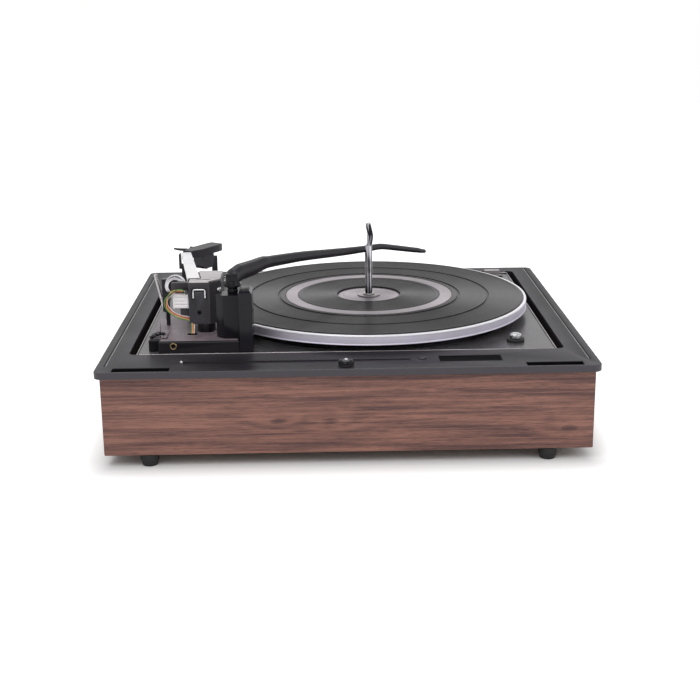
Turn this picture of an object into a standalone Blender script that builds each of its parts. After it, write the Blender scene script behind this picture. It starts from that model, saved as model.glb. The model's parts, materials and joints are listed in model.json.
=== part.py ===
# Record changer on a wooden plinth: a turntable with a bent record spindle, an overarm that steadies
# the stack of records, a tonearm on a turning yoke, and the drive and cycle gear under the platter.
# Metres, +Z up. The front of the machine faces -Y, the tonearm is on the +X side, the table is at Z = 0.
import math

import bmesh
import bpy
from mathutils import Vector

# General sizes
GAP = 0.0003
OVERRUN = 0.002
WELD = 0.000001
SMOOTH_ANGLE = math.radians(35)
BIG_ROUND = 56
MID_ROUND = 20
SMALL_ROUND = 12
CORNER_STEPS = 4

# Whole body
DECK_WIDTH = 0.420
DECK_DEPTH = 0.3755
DECK_TOP = 0.085
DECK_CORNER = 0.007
PLATE_LEVEL = 0.083

# Deck surround
LIP_HEIGHT = 0.0061
LIP_OVERHANG = 0.0047
WEB = 0.0025
SKIRT = 0.0025
INNER_SKIRT = 0.002
INNER_SKIRT_DROP = 0.011
OPENING_SIDE = 0.0224
OPENING_FRONT = 0.0181
OPENING_REAR = 0.0526
OPENING_CORNER = 0.008
GROOVE_INSET = 0.0064
GROOVE_WIDTH = 0.0018
GROOVE_DEPTH = 0.0007
GROOVE_END = 0.006
HINGE_SLOT_LENGTH = 0.047
HINGE_SLOT_WIDTH = 0.0095
HINGE_SLOT_EDGE = 0.003
HINGE_SLOT_SIDE = 0.0150
SOCKET_LENGTH = 0.0523
SOCKET_WIDTH = 0.0165
SOCKET_EDGE = 0.0184
SOCKET_X = -0.1031
SOCKET_DEPTH = 0.0017
TROUGH_START_X = 0.138
TROUGH_END_X = -0.052
TROUGH_EDGE = 0.0215
TROUGH_WIDTH = 0.007
TROUGH_DEPTH = 0.0009
BUFFER_X = 0.002
BUFFER_EDGE = 0.013
BUFFER_RADIUS = 0.0065
BUFFER_HEIGHT = 0.0045

# Plinth
WOOD = 0.010
WOOD_BOTTOM = 0.011
MITRE_GAP = 0.0002
CLEAT_WIDTH = 0.012
CLEAT_HEIGHT = 0.014
BOTTOM_BOARD = 0.003
BOTTOM_BOARD_RAISE = 0.002
GROMMET_RADIUS = 0.008
GROMMET_HOLE = 0.0035
GROMMET_X = -0.120
GROMMET_EDGE = 0.030
FOOT_RADIUS = 0.008
FOOT_TAPER = 0.0015
FOOT_INSET_X = 0.0415
FOOT_INSET_Y = 0.0130

# Mounting board and suspension
BOARD_BOTTOM = 0.048
BOARD = 0.010
BOARD_CUT_X = 0.135
BOARD_CUT_FRONT = -0.125
BOARD_CUT_REAR = 0.090
BOARD_CUT_CORNER = 0.020
MOUNT_LEFT_X = -0.1498
MOUNT_RIGHT_FRONT_X = 0.1500
MOUNT_RIGHT_REAR_X = 0.1650
MOUNT_REAR_Y = 0.10415
MOUNT_FRONT_Y = -0.0950
SPRING_RADIUS = 0.008
SPRING_WIRE = 0.0016
SPRING_CURLS = 4.5
SPRING_END_CURL = 0.75
SPRING_POINTS = 9
SCREW_SHANK = 0.0025
SCREW_HEAD = 0.00525
SCREW_HEAD_HEIGHT = 0.004
SCREW_SLOT = 0.0012
SCREW_SLOT_DEPTH = 0.0016
SCREW_REACH = 0.012
WASHER_RADIUS = 0.008
WASHER_HEIGHT = 0.0025

# Unit plate
PLATE = 0.0015
PLATE_SIDE_GAP = 0.0061
PLATE_REAR = 0.13475
PLATE_FRONT = -0.16925
PLATE_CORNER = 0.012
PLATE_SKIRT_DROP = 0.007
DISH_RADIUS = 0.140
DISH_DEPTH = 0.0037

# Platter and mat
PLATTER_X = -0.0242
PLATTER_Y = -0.01335
PLATTER_RADIUS = 0.152
RIM_TOP = 0.0986
RIM_BOTTOM = 0.0916
RIM_WALL = 0.003
RIM_ROUND = 0.0006
RIM_LIP = 0.0012
PLATTER_WEB_TOP = 0.0970
PLATTER_WEB = 0.0015
CENTRE_RADIUS = 0.0298
CENTRE_TOP = 0.0985
HUB_RADIUS = 0.012
HUB_BOTTOM = 0.0870
FLANGE_INNER = 0.095
FLANGE_WALL = 0.003
FLANGE_BOTTOM = 0.0865
MAT_TOP = 0.100
MAT_INNER = 0.0306
MAT_EDGE_ROUND = 0.001
MAT_GROOVE_RADIUS = 0.1153
MAT_GROOVE_WIDTH = 0.002
MAT_GROOVE_DEPTH = 0.001
MAT_STEP_RADIUS = 0.0870
MAT_STEP_WIDTH = 0.0025
TRIM_INNER = 0.0687
TRIM_OUTER = 0.0804
TRIM_HEIGHT = 0.0012
TRIM_ROUND = 0.0003

# Bearing and spindle
SPINDLE_RADIUS = 0.00345
POST_RADIUS = 0.0055
POST_BOTTOM = 0.070
POST_FLANGE_RADIUS = 0.014
POST_FLANGE = 0.002
POST_GROOVE_DEPTH = 0.0008
POST_HEAD = 0.001
CLIP_RADIUS = 0.011
CLIP_THICKNESS = 0.0008
CLIP_MOUTH = math.radians(70)
RACE_RADIUS = 0.0095
RACE_ROUND = 0.0004
SPINDLE_BOTTOM = 0.068
LEDGE_HEIGHT = 0.1474
SPINDLE_TOP = 0.1697
SPINDLE_TIP_RADIUS = 0.0028
SPINDLE_BEND = 0.0019
LATCH_BOTTOM = 0.1488
LATCH_HEIGHT = 0.009
LATCH_WIDTH = 0.0014
LATCH_LENGTH = 0.0052

# Motor and idler drive
MOTOR_X = -0.0806
MOTOR_Y = 0.0072
STATOR_BOTTOM = 0.040
STATOR_HEIGHT = 0.020
STATOR_HALF = 0.026
STATOR_CORNER = 0.004
ROTOR_RADIUS = 0.016
ROTOR_CLEARANCE = 0.0005
COIL_WIDTH = 0.022
COIL_DEPTH = 0.012
STATOR_TAIL = 0.030
STATOR_WINDOW_WIDTH = 0.028
STATOR_WINDOW_DEPTH = 0.018
BRACKET = 0.0015
BRACKET_RISE = 0.007
BRACKET_STRAP = 0.007
MOTOR_SHAFT = 0.002
PULLEY_FAST = 0.0056
PULLEY_MIDDLE = 0.0033
PULLEY_SLOW = 0.00235
PULLEY_STEPS = (PULLEY_FAST, PULLEY_MIDDLE, PULLEY_SLOW)
PULLEY_STEP_HEIGHT = 0.0033
PULLEY_CAP = 0.001
GROMMET_POST = 0.0035
MOTOR_MOUNT_SPREAD = 0.030
IDLER_RADIUS = 0.0216
IDLER_BOTTOM = 0.0875
IDLER_TOP = 0.0905
IDLER_HUB = 0.005
IDLER_WEB = 0.0015
IDLER_ARM_PIVOT_X = -0.1394
IDLER_ARM_PIVOT_Y = -0.0264
IDLER_ARM_LEVEL = 0.0845
IDLER_ARM_THICKNESS = 0.0012
IDLER_ARM_EYE = 0.006
PIN_RADIUS = 0.0015

# Cycle gear
GEAR_MODULE = 0.00125
GEAR_PLACES = 84
GEAR_MISSING = 8
PINION_TEETH = 14
GEAR_BEARING = math.radians(-30)
GEAR_MESH_EASE = 0.0002
GEAR_BOTTOM = 0.0805
GEAR_THICKNESS = 0.0035
GEAR_HOLES = 5
GEAR_HOLE_RADIUS = 0.007
GEAR_HOLE_RING = 0.024
CAM_INNER = 0.036
CAM_WIDTH = 0.0042
CAM_DEPTH = 0.0018
CAM_DIP = 0.006
GEAR_PIN = 0.003
ROOT_SHARE = 1.25
TIP_SHARE = 0.96
ROOT_HALF_SHARE = 0.30
TIP_HALF_SHARE = 0.13
CAM_STEPS = 36
FOLLOWER_TURN = math.radians(75)
PINION_BOTTOM = 0.0820
FOLLOWER_LENGTH = 0.040
FOLLOWER_WIDTH = 0.009

# Switch and terminal strip
SWITCH_X = 0.060
SWITCH_Y = 0.112
SWITCH_LENGTH = 0.034
SWITCH_WIDTH = 0.018
SWITCH_HEIGHT = 0.014
STRIP_X = 0.010
STRIP_LENGTH = 0.046
STRIP_HEIGHT = 0.016
STRIP_THICKNESS = 0.002
STRIP_FOOT = 0.010
STRIP_PINS = 5
STRIP_PIN_RADIUS = 0.001

# Tonearm base
ARM_X = 0.124
ARM_Y = 0.09275
BASE_TOP = 0.0942
BASE_RIGHT = 0.1722
BASE_LEFT = 0.0931
BASE_REAR = 0.12775
BASE_FRONT = 0.04675
BASE_CLEARANCE = 0.0015
BASE_STEP_X = 0.0092
BASE_STEP_Y = 0.007
BASE_CHAMFER = 0.0012
BASE_RIDGE_X = 0.1585
BASE_RIDGE_RADIUS = 0.0055
BASE_RIDGE_LIFT = 0.0012
COLUMN_RADIUS = 0.008
LEAD_HOLE_X = 0.1355
LEAD_HOLE_Y = 0.10475
LEAD_HOLE_HALF_LENGTH = 0.0045
LEAD_HOLE_HALF_WIDTH = 0.0028
EYELET_X = 0.150
EYELET_Z = 0.0896
EYELET_RADIUS = 0.0019
EYELET_DEPTH = 0.004

# Overarm and its pillar
OVERARM_X = 0.0985
OVERARM_Y = 0.10975
OVERARM_BEARING = math.radians(41.1)
PILLAR_TOP = 0.1325
PILLAR_WING_TOP = 0.1377
PILLAR_OUTER_X = 0.0145
PILLAR_CHAMFER_X = 0.008
PILLAR_HALF_Y = 0.006
PILLAR_NECK_Y = 0.012
PILLAR_INNER_X = 0.0055
PILLAR_WING = 0.0115
PILLAR_WING_REAR = 0.019
SHAFT_RADIUS = 0.003
SHAFT_BOTTOM = 0.0835
NECK_RADIUS = 0.0046
NECK_TOP = 0.1430
SHAFT_INSERT = 0.0075
ARM_TUBE_START = 0.006
ARM_TUBE_LENGTH = 0.280
ARM_TUBE_CREST = 0.1520
ARM_TUBE_END = 0.1226
ARM_TUBE_PLACE_SHARES = (0, 0.032, 0.086, 0.139, 0.161, 0.321, 0.518, 0.650, 0.739, 0.846, 0.957, 1)
ARM_TUBE_RISE_SHARES = (0.796, 0.898, 0.932, 1, 0.993, 0.912, 0.728, 0.626, 0.582, 0.347, 0.099, 0)
ARM_TUBE_THICK = 0.012
ARM_TUBE_THICK_SHARES = (1, 1, 0.92, 0.73, 0.73, 0.71, 0.62, 0.53, 0.50, 0.48, 0.45, 0.32)
ARM_TUBE_WIDTH_SHARE = 1.0
ARM_TUBE_SIDES = 12

# Tonearm yoke
YOKE_LEFT = 0.1098
YOKE_RIGHT = 0.1380
YOKE_REAR = 0.10075
YOKE_FRONT = 0.05675
YOKE_BOTTOM = 0.1020
YOKE_ABOVE_AXIS = 0.0068
YOKE_CHAMFER = 0.0095
YOKE_EDGE = 0.0008
YOKE_PIN_RADIUS = 0.003
YOKE_PIN_BOTTOM = 0.0755
YOKE_NOTCH_BELOW_AXIS = 0.0055
YOKE_INSET_WIDTH = 0.0125
YOKE_INSET_HEIGHT = 0.0090
YOKE_INSET_DROP = 0.0053
YOKE_INSET_DEPTH = 0.0012
YOKE_TAB_WIDTH = 0.0090
YOKE_TAB_DROP = 0.0024
YOKE_HOLE_X = 0.1290
YOKE_HOLE_Z = 0.1126
YOKE_HOLE_RADIUS = 0.0017
YOKE_HOLE_DEPTH = 0.004
CAP = 0.0014
CAP_SLOT_LENGTH = 0.012
CAP_SLOT_WIDTH = 0.0022
LUG_RIGHT = 0.1530
LUG_REAR = 0.0975
LUG_FRONT = 0.0908
LUG_BOTTOM = 0.1305
CRANK = 0.0015
CRANK_LENGTH = 0.026
CRANK_WIDTH = 0.009
BLOCK_RIGHT = 0.1460
BLOCK_BOTTOM = 0.1090
BLOCK_TOP = 0.1157

# Tracking force dial and lead block
DIAL_X = 0.1506
DIAL_Z = 0.134
DIAL_RADIUS = 0.0092
DIAL_THICKNESS = 0.008
DIAL_PIN = 0.002
DIAL_PIN_LENGTH = 0.004
DIAL_FACE_RADIUS = 0.0072
DIAL_FACE_DEPTH = 0.001
CONNECTOR_RIGHT = 0.1520
CONNECTOR_REAR = 0.0998
CONNECTOR_FRONT = 0.0912
CONNECTOR_BOTTOM = 0.1163
CONNECTOR_TOP = 0.1290
CONNECTOR_RIBS = 4
CONNECTOR_RIB = 0.0008
LEAD_RADIUS = 0.0006
LEAD_PITCH = 0.0016
LEAD_COUNT = 4
LEAD_PLUG = 0.006
LEAD_STEPS = 2
LEAD_SIDES = 6
LEAD_ROUTE = (
    ((0.1396, 0.1024, 0.1315), (0, 1, 0)),
    ((0.1430, 0.1024, 0.1326), (0, 0.9, 0.4)),
    ((0.1495, 0.1024, 0.1324), (0, 0.85, 0.5)),
    ((0.1545, 0.1024, 0.1290), (0.4, 0.85, 0.3)),
    ((0.1573, 0.1024, 0.1240), (0.5, 0.85, 0)),
    ((0.1566, 0.1024, 0.1180), (0.4, 0.85, -0.3)),
    ((0.1525, 0.1022, 0.1125), (0.2, 0.85, -0.4)),
    ((0.1460, 0.1024, 0.1086), (0.3, 0.8, -0.4)),
    ((0.1408, 0.1032, 0.1056), (0.8, 0.4, -0.4)),
    ((0.1372, 0.1040, 0.1010), (0.95, 0.25, -0.1)),
    ((0.1354, 0.1045, 0.0978), (1, 0.1, 0)),
    ((0.1352, 0.1047, 0.0946), (1, 0, 0)),
)

# Tonearm, headshell and cartridge
TONEARM_BEARING = math.radians(8.2)
TONEARM_OFFSET = 0.00924
TONEARM_REAR = 0.0060
TONEARM_FRONT = 0.1700
TONEARM_ABOVE_AXIS = 0.0092
TONEARM_FALL = 0.0107
TONEARM_REAR_WIDTH = 0.0108
TONEARM_FRONT_WIDTH = 0.0093
TONEARM_SIDE = 0.0050
TONEARM_SHEET = 0.0012
LIFT_AXIS_DISTANCE = 0.0124
LIFT_AXIS_HEIGHT = 0.1320
EAR_LENGTH = 0.014
EAR_DROP = 0.0045
NOTCH_SIDE_ROOM = 0.0009
NOTCH_REAR_ROOM = 0.0016
SHELL_BEARING = math.radians(34)
SHELL_X = 0.1572
SHELL_Y = -0.0785
SHELL_LENGTH = 0.049
SHELL_WIDTH = 0.017
SHELL_OUTLINE_SHARES = ((0, 0.58), (0.10, 0.62), (0.28, 1), (0.84, 1), (0.95, 0.93), (1, 0.78))
SHELL_NECK = 0.008
SHELL_RISE = 0.0007
SHELL_HEIGHT = 0.0073
SHELL_SHEET = 0.0012
FINGER_LENGTH = 0.009
FINGER_WIDTH = 0.004
FINGER_PLACE = 0.024
CARTRIDGE_WIDTH = 0.0126
CARTRIDGE_LENGTH = 0.0180
CARTRIDGE_HEIGHT = 0.0205
CARTRIDGE_PLACE = 0.0172
STYLUS_DROP = 0.0040
STYLUS_RADIUS = 0.0010
STYLUS_BLOCK = 0.0060
REST_Y = -0.06025
REST_LENGTH = 0.008
REST_PRONG = 0.002
REST_PRONG_ABOVE_ARM = 0.0015
REST_CRADLE_DROP = 0.0050
REST_WIDTH = 0.0124
REST_FOOT = 0.0025
REST_FOOT_SPREAD = 0.003

# Cueing gear
CUE_BRACKET_LEFT = 0.1582
CUE_BRACKET_RIGHT = 0.1642
CUE_BRACKET_REAR = 0.0750
CUE_BRACKET_THICKNESS = 0.0060
CUE_BRACKET_BOTTOM = 0.1070
CUE_BRACKET_TOP = 0.1370
CUE_STEM = 0.0033
CUE_LUG = 0.0036
CUE_PIVOT_Z = 0.1180
CUE_HUB_RADIUS = 0.0035
CUE_ROD_RADIUS = 0.0014
CUE_ROD_LEAN = 0.22
CUE_ROD_RISE = 0.0225
CUE_ROD_TAIL = 0.0200
LIFT_BAR_RADIUS = 0.0460
LIFT_BAR_WIDTH = 0.0035
LIFT_BAR_THICKNESS = 0.0022
LIFT_BAR_TOP = 0.1290
LIFT_BAR_START = math.radians(-28)
LIFT_BAR_END = math.radians(38)
LIFT_POST_RADIUS = 0.0022
LIFT_POST_BOTTOM = 0.0870

# Levers at the front
LEVER = 0.0015
LEVER_ARM_WIDTH = 0.007
LEVER_ARM_LENGTH = 0.030
LEVER_HUB = 0.005
LEVER_STUD = 0.002
LEVER_SWING = math.radians(12)
LEVER_SLOT_ROOM = 0.0012
LEVER_Y = -0.14525
START_X = 0.1355
START_WIDTH = 0.006
START_TOP = 0.112
SIZE_X = 0.1630
SIZE_WIDTH = 0.005
SIZE_TOP = 0.118
SPEED_X = -0.1630
SPEED_Y = -0.1520
SPEED_WIDTH = 0.008
SPEED_TOP = 0.0905
SPEED_CAP_LENGTH = 0.016
SPEED_CAP_HEIGHT = 0.004
LEVER_THICKNESS = 0.003

# Places worked out from the sizes above
YOKE_TOP = LIFT_AXIS_HEIGHT + YOKE_ABOVE_AXIS
YOKE_NOTCH_FLOOR = LIFT_AXIS_HEIGHT - YOKE_NOTCH_BELOW_AXIS
YOKE_INSET_TOP = YOKE_TOP - YOKE_INSET_DROP
TONEARM_REAR_TOP = LIFT_AXIS_HEIGHT + TONEARM_ABOVE_AXIS
TONEARM_FRONT_TOP = TONEARM_REAR_TOP - TONEARM_FALL
SHELL_TOP = TONEARM_FRONT_TOP + SHELL_RISE
REST_PRONG_TOP = TONEARM_FRONT_TOP + REST_PRONG_ABOVE_ARM
HALF_WIDTH = DECK_WIDTH / 2
HALF_DEPTH = DECK_DEPTH / 2
WOOD_X = HALF_WIDTH - LIP_OVERHANG
WOOD_Y = HALF_DEPTH - LIP_OVERHANG
INSIDE_X = WOOD_X - WOOD
INSIDE_Y = WOOD_Y - WOOD
WOOD_TOP = DECK_TOP - WEB - GAP
BOARD_TOP = BOARD_BOTTOM + GAP + BOARD
PLATE_UNDER = PLATE_LEVEL - PLATE
DISH_LEVEL = PLATE_LEVEL - DISH_DEPTH
DISH_UNDER = DISH_LEVEL - PLATE
OPEN_X = HALF_WIDTH - OPENING_SIDE
OPEN_FRONT = OPENING_FRONT - HALF_DEPTH
OPEN_REAR = HALF_DEPTH - OPENING_REAR
PLATE_X = OPEN_X - PLATE_SIDE_GAP
GEAR_PITCH = GEAR_MODULE * GEAR_PLACES / 2
PINION_PITCH = GEAR_MODULE * PINION_TEETH / 2
GEAR_DISTANCE = GEAR_PITCH + PINION_PITCH + GEAR_MESH_EASE
GEAR_X = PLATTER_X + GEAR_DISTANCE * math.cos(GEAR_BEARING)
GEAR_Y = PLATTER_Y + GEAR_DISTANCE * math.sin(GEAR_BEARING)
ARM_AHEAD = Vector((math.sin(TONEARM_BEARING), -math.cos(TONEARM_BEARING), 0))
ARM_ASIDE = Vector((math.cos(TONEARM_BEARING), math.sin(TONEARM_BEARING), 0))


def paint(name, color, roughness, metallic=0.0):
    """A plain Principled material in one colour."""
    look = bpy.data.materials.new(name)
    look.use_nodes = True
    shader = look.node_tree.nodes["Principled BSDF"]
    shader.inputs["Base Color"].default_value = (*color, 1)
    shader.inputs["Roughness"].default_value = roughness
    shader.inputs["Metallic"].default_value = metallic
    return look


def close(form):
    """Welds the seams of a form and turns its faces outward."""
    bmesh.ops.remove_doubles(form, verts=form.verts, dist=WELD)
    bmesh.ops.recalc_face_normals(form, faces=form.faces)
    return form


def prism(outline, low, high):
    """A solid between two levels over an outline of (x, y) points."""
    form = bmesh.new()
    floor = form.faces.new([form.verts.new((x, y, low)) for x, y in outline])
    grown = bmesh.ops.extrude_face_region(form, geom=[floor])
    roof = [item for item in grown["geom"] if isinstance(item, bmesh.types.BMVert)]
    bmesh.ops.translate(form, verts=roof, vec=(0, 0, high - low))
    return close(form)


def box(left, right, front, rear, low, high):
    return prism([(left, front), (right, front), (right, rear), (left, rear)], low, high)


def turned(profile, count, x=0, y=0):
    """A profile of (radius, height) points turned about the upright through (x, y)."""
    form = bmesh.new()
    points = [form.verts.new((radius, 0, height)) for radius, height in profile]
    edges = [
        form.edges.new((one, two))
        for one, two in zip(points, points[1:] + points[:1])
        if one.co.x > 0 or two.co.x > 0
    ]
    bmesh.ops.spin(form, geom=points + edges, cent=(0, 0, 0), axis=(0, 0, 1),
                   angle=math.tau, steps=count, use_merge=True)
    bmesh.ops.translate(form, verts=form.verts, vec=(x, y, 0))
    return close(form)


def disc(radius, low, high, count, x=0, y=0):
    return turned([(0, low), (radius, low), (radius, high), (0, high)], count, x, y)


def ring(inner, outer, low, high, count, x=0, y=0):
    return turned([(inner, low), (outer, low), (outer, high), (inner, high)], count, x, y)


def lofted(rings):
    """A solid through closed rings of as many points each, with flat ends."""
    form = bmesh.new()
    loops = [[form.verts.new(point) for point in points] for points in rings]
    for lower, upper in zip(loops, loops[1:]):
        for i in range(len(lower)):
            form.faces.new((lower[i - 1], lower[i], upper[i], upper[i - 1]))
    form.faces.new(loops[0])
    form.faces.new(loops[-1])
    return close(form)


def rod(start, end, radius, count, end_radius=None):
    """A round bar, or a cone where the end has its own radius, between two points."""
    start = Vector(start)
    end = Vector(end)
    along = (end - start).normalized()
    side = along.orthogonal().normalized()
    other = along.cross(side)
    radii = (radius, radius if end_radius is None else end_radius)
    rings = [
        [
            place + size * (math.cos(turn) * side + math.sin(turn) * other)
            for turn in (math.tau * i / count for i in range(count))
        ]
        for place, size in zip((start, end), radii)
    ]
    return lofted(rings)


def arc(x, y, radius, start, end, steps):
    """Points on an arc, both ends included."""
    turns = [start + (end - start) * i / steps for i in range(steps + 1)]
    return [(x + radius * math.cos(turn), y + radius * math.sin(turn)) for turn in turns]


def rounded(left, right, front, rear, radius):
    """A rectangle's outline with rounded corners."""
    quarter = math.pi / 2
    corners = (
        (right - radius, rear - radius, 0),
        (left + radius, rear - radius, quarter),
        (left + radius, front + radius, 2 * quarter),
        (right - radius, front + radius, 3 * quarter),
    )
    points = []
    for x, y, turn in corners:
        points += arc(x, y, radius, turn, turn + quarter, CORNER_STEPS)
    return points


def merged(forms):
    """Separate forms put into one mesh, used as one cutter."""
    whole = bmesh.new()
    for form in forms:
        sheet = bpy.data.meshes.new("piece")
        form.to_mesh(sheet)
        form.free()
        whole.from_mesh(sheet)
        bpy.data.meshes.remove(sheet)
    return whole


def mesh_object(name, form, origin):
    """An object that keeps the form's place and has its own origin."""
    bmesh.ops.translate(form, verts=form.verts, vec=-Vector(origin))
    sheet = bpy.data.meshes.new(name)
    form.to_mesh(sheet)
    form.free()
    thing = bpy.data.objects.new(name, sheet)
    thing.location = origin
    bpy.context.scene.collection.objects.link(thing)
    return thing


def helper(name, form):
    """A hidden form that a Boolean modifier reads."""
    thing = mesh_object(name, form, (0, 0, 0))
    thing.hide_render = True
    thing.display_type = "WIRE"
    return thing


def solid(name, form, look, origin=(0, 0, 0), add=(), cut=(), pins=()):
    """A named piece: a form, what is joined to it, what is cut from it and what is joined last."""
    thing = mesh_object(name, form, origin)
    thing.data.materials.append(look)
    steps = [("UNION", extra) for extra in add] + [("DIFFERENCE", extra) for extra in cut]
    steps += [("UNION", extra) for extra in pins]
    for number, (operation, extra) in enumerate(steps):
        step = thing.modifiers.new(f"{operation} {number}", "BOOLEAN")
        step.operation = operation
        step.object = helper(f"{name}.guide{number}", extra)
    thing.data.shade_smooth()
    thing.data.set_sharp_from_angle(angle=SMOOTH_ANGLE)
    return thing


def joint(name, place, parent=None):
    """An empty on a joint's axis, which carries the pieces that move with it."""
    pivot = bpy.data.objects.new(name, None)
    bpy.context.scene.collection.objects.link(pivot)
    pivot.location = place
    carry(pivot, parent)
    return pivot


def carry(thing, parent):
    """Parents a piece to a joint and leaves the piece where it is."""
    if parent is None:
        return
    place = thing.location.copy()
    thing.parent = parent
    thing.location = place - world_place(parent)


def world_place(thing):
    """The place of an object whose parents are all unturned."""
    place = thing.location.copy()
    while thing.parent:
        thing = thing.parent
        place += thing.location
    return place


# Plinth

def plinth_walls(look):
    """Four mitred boards with glued cleats under the mounting board."""
    cleat_top = BOARD_BOTTOM
    cleat_low = cleat_top - CLEAT_HEIGHT
    long_cut = WOOD_X - MITRE_GAP, INSIDE_X - MITRE_GAP
    short_cut = WOOD_Y - MITRE_GAP, INSIDE_Y - MITRE_GAP
    for name, side in (("plinth_rear", 1), ("plinth_front", -1)):
        outer, inner = side * WOOD_Y, side * INSIDE_Y
        outline = [(-long_cut[0], outer), (long_cut[0], outer), (long_cut[1], inner), (-long_cut[1], inner)]
        shelf = sorted((inner + side * OVERRUN, inner - side * CLEAT_WIDTH))
        reach = INSIDE_X - GAP
        cleat = box(-reach, reach, *shelf, cleat_low, cleat_top)
        solid(name, prism(outline, WOOD_BOTTOM, WOOD_TOP), look, (0, outer, WOOD_BOTTOM), add=[cleat])
    for name, side in (("plinth_right", 1), ("plinth_left", -1)):
        outer, inner = side * WOOD_X, side * INSIDE_X
        outline = [
            (outer, -short_cut[0]), (outer, short_cut[0]), (inner, short_cut[1]), (inner, -short_cut[1])
        ]
        shelf = sorted((inner + side * OVERRUN, inner - side * CLEAT_WIDTH))
        reach = INSIDE_Y - CLEAT_WIDTH - GAP
        cleat = box(*shelf, -reach, reach, cleat_low, cleat_top)
        solid(name, prism(outline, WOOD_BOTTOM, WOOD_TOP), look, (outer, 0, WOOD_BOTTOM), add=[cleat])


def bottom_board(look):
    low = WOOD_BOTTOM + BOTTOM_BOARD_RAISE
    high = low + BOTTOM_BOARD
    sheet = box(GAP - INSIDE_X, INSIDE_X - GAP, GAP - INSIDE_Y, INSIDE_Y - GAP, low, high)
    hole = disc(GROMMET_RADIUS - GAP * 3, low - OVERRUN, high + OVERRUN, MID_ROUND, *grommet_place())
    solid("bottom_board", sheet, look, (0, 0, low), cut=[hole])


def grommet_place():
    return GROMMET_X, INSIDE_Y - GROMMET_EDGE


def cord_grommet(look):
    """A rubber bush that grips the bottom board's edge in its groove."""
    low = WOOD_BOTTOM + BOTTOM_BOARD_RAISE
    high = low + BOTTOM_BOARD
    neck = GROMMET_RADIUS - GAP * 4
    lip = GROMMET_RADIUS + WOOD / 5
    profile = [
        (GROMMET_HOLE, low - GAP - WEB / 2), (lip, low - GAP - WEB / 2), (lip, low - GAP),
        (neck, low - GAP), (neck, high + GAP), (lip, high + GAP), (lip, high + GAP + WEB / 2),
        (GROMMET_HOLE, high + GAP + WEB / 2),
    ]
    solid("cord_grommet", turned(profile, MID_ROUND, *grommet_place()), look, (*grommet_place(), low))


def feet(look):
    """Four turned rubber feet under the corners of the plinth."""
    top = WOOD_BOTTOM - GAP
    profile = [(0, 0), (FOOT_RADIUS - FOOT_TAPER, 0), (FOOT_RADIUS, top / 2), (FOOT_RADIUS, top), (0, top)]
    number = 0
    for x in (FOOT_INSET_X - HALF_WIDTH, HALF_WIDTH - FOOT_INSET_X):
        for y in (FOOT_INSET_Y - HALF_DEPTH, HALF_DEPTH - FOOT_INSET_Y):
            number += 1
            solid(f"foot_{number}", turned(profile, SMALL_ROUND, x, y), look, (x, y, top))


# Deck surround

def deck_surround(look):
    """The moulded rim of the deck: a shell with an outer lip and a skirt inside its opening."""
    body = prism(rounded(-HALF_WIDTH, HALF_WIDTH, -HALF_DEPTH, HALF_DEPTH, DECK_CORNER),
                 DECK_TOP - LIP_HEIGHT, DECK_TOP)
    collar = prism(rounded(-OPEN_X - INNER_SKIRT, OPEN_X + INNER_SKIRT, OPEN_FRONT - INNER_SKIRT,
                           OPEN_REAR + INNER_SKIRT, OPENING_CORNER),
                   DECK_TOP - INNER_SKIRT_DROP, DECK_TOP - WEB / 2)
    opening = prism(rounded(-OPEN_X, OPEN_X, OPEN_FRONT, OPEN_REAR, OPENING_CORNER - INNER_SKIRT),
                    DECK_TOP - INNER_SKIRT_DROP - OVERRUN, DECK_TOP + OVERRUN)
    solid("deck_surround", body, look, (0, 0, DECK_TOP), cut=[
        surround_pocket(), opening, surround_recesses()], add=[collar, lid_buffer()])


def surround_pocket():
    """The hollow under the web, a frame between the outer lip and the skirt of the opening."""
    x = HALF_WIDTH - SKIRT
    y = HALF_DEPTH - SKIRT
    low = DECK_TOP - LIP_HEIGHT - OVERRUN
    high = DECK_TOP - WEB
    inner_x = OPEN_X + INNER_SKIRT
    outline = rounded(-x, x, -y, y, DECK_CORNER - SKIRT)
    hollow = prism(outline, low, high)
    island = prism(rounded(-inner_x, inner_x, OPEN_FRONT - INNER_SKIRT, OPEN_REAR + INNER_SKIRT,
                           OPENING_CORNER),
                   low - OVERRUN, high + OVERRUN)
    return difference(hollow, island)


def difference(form, cutter):
    """The form less the cutter, as a new form."""
    block = mesh_object("block", form, (0, 0, 0))
    knife = mesh_object("knife", cutter, (0, 0, 0))
    step = block.modifiers.new("cut", "BOOLEAN")
    step.operation = "DIFFERENCE"
    step.object = knife
    shape = block.evaluated_get(bpy.context.evaluated_depsgraph_get()).to_mesh()
    result = bmesh.new()
    result.from_mesh(shape)
    bpy.data.objects.remove(block)
    bpy.data.objects.remove(knife)
    return result


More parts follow.
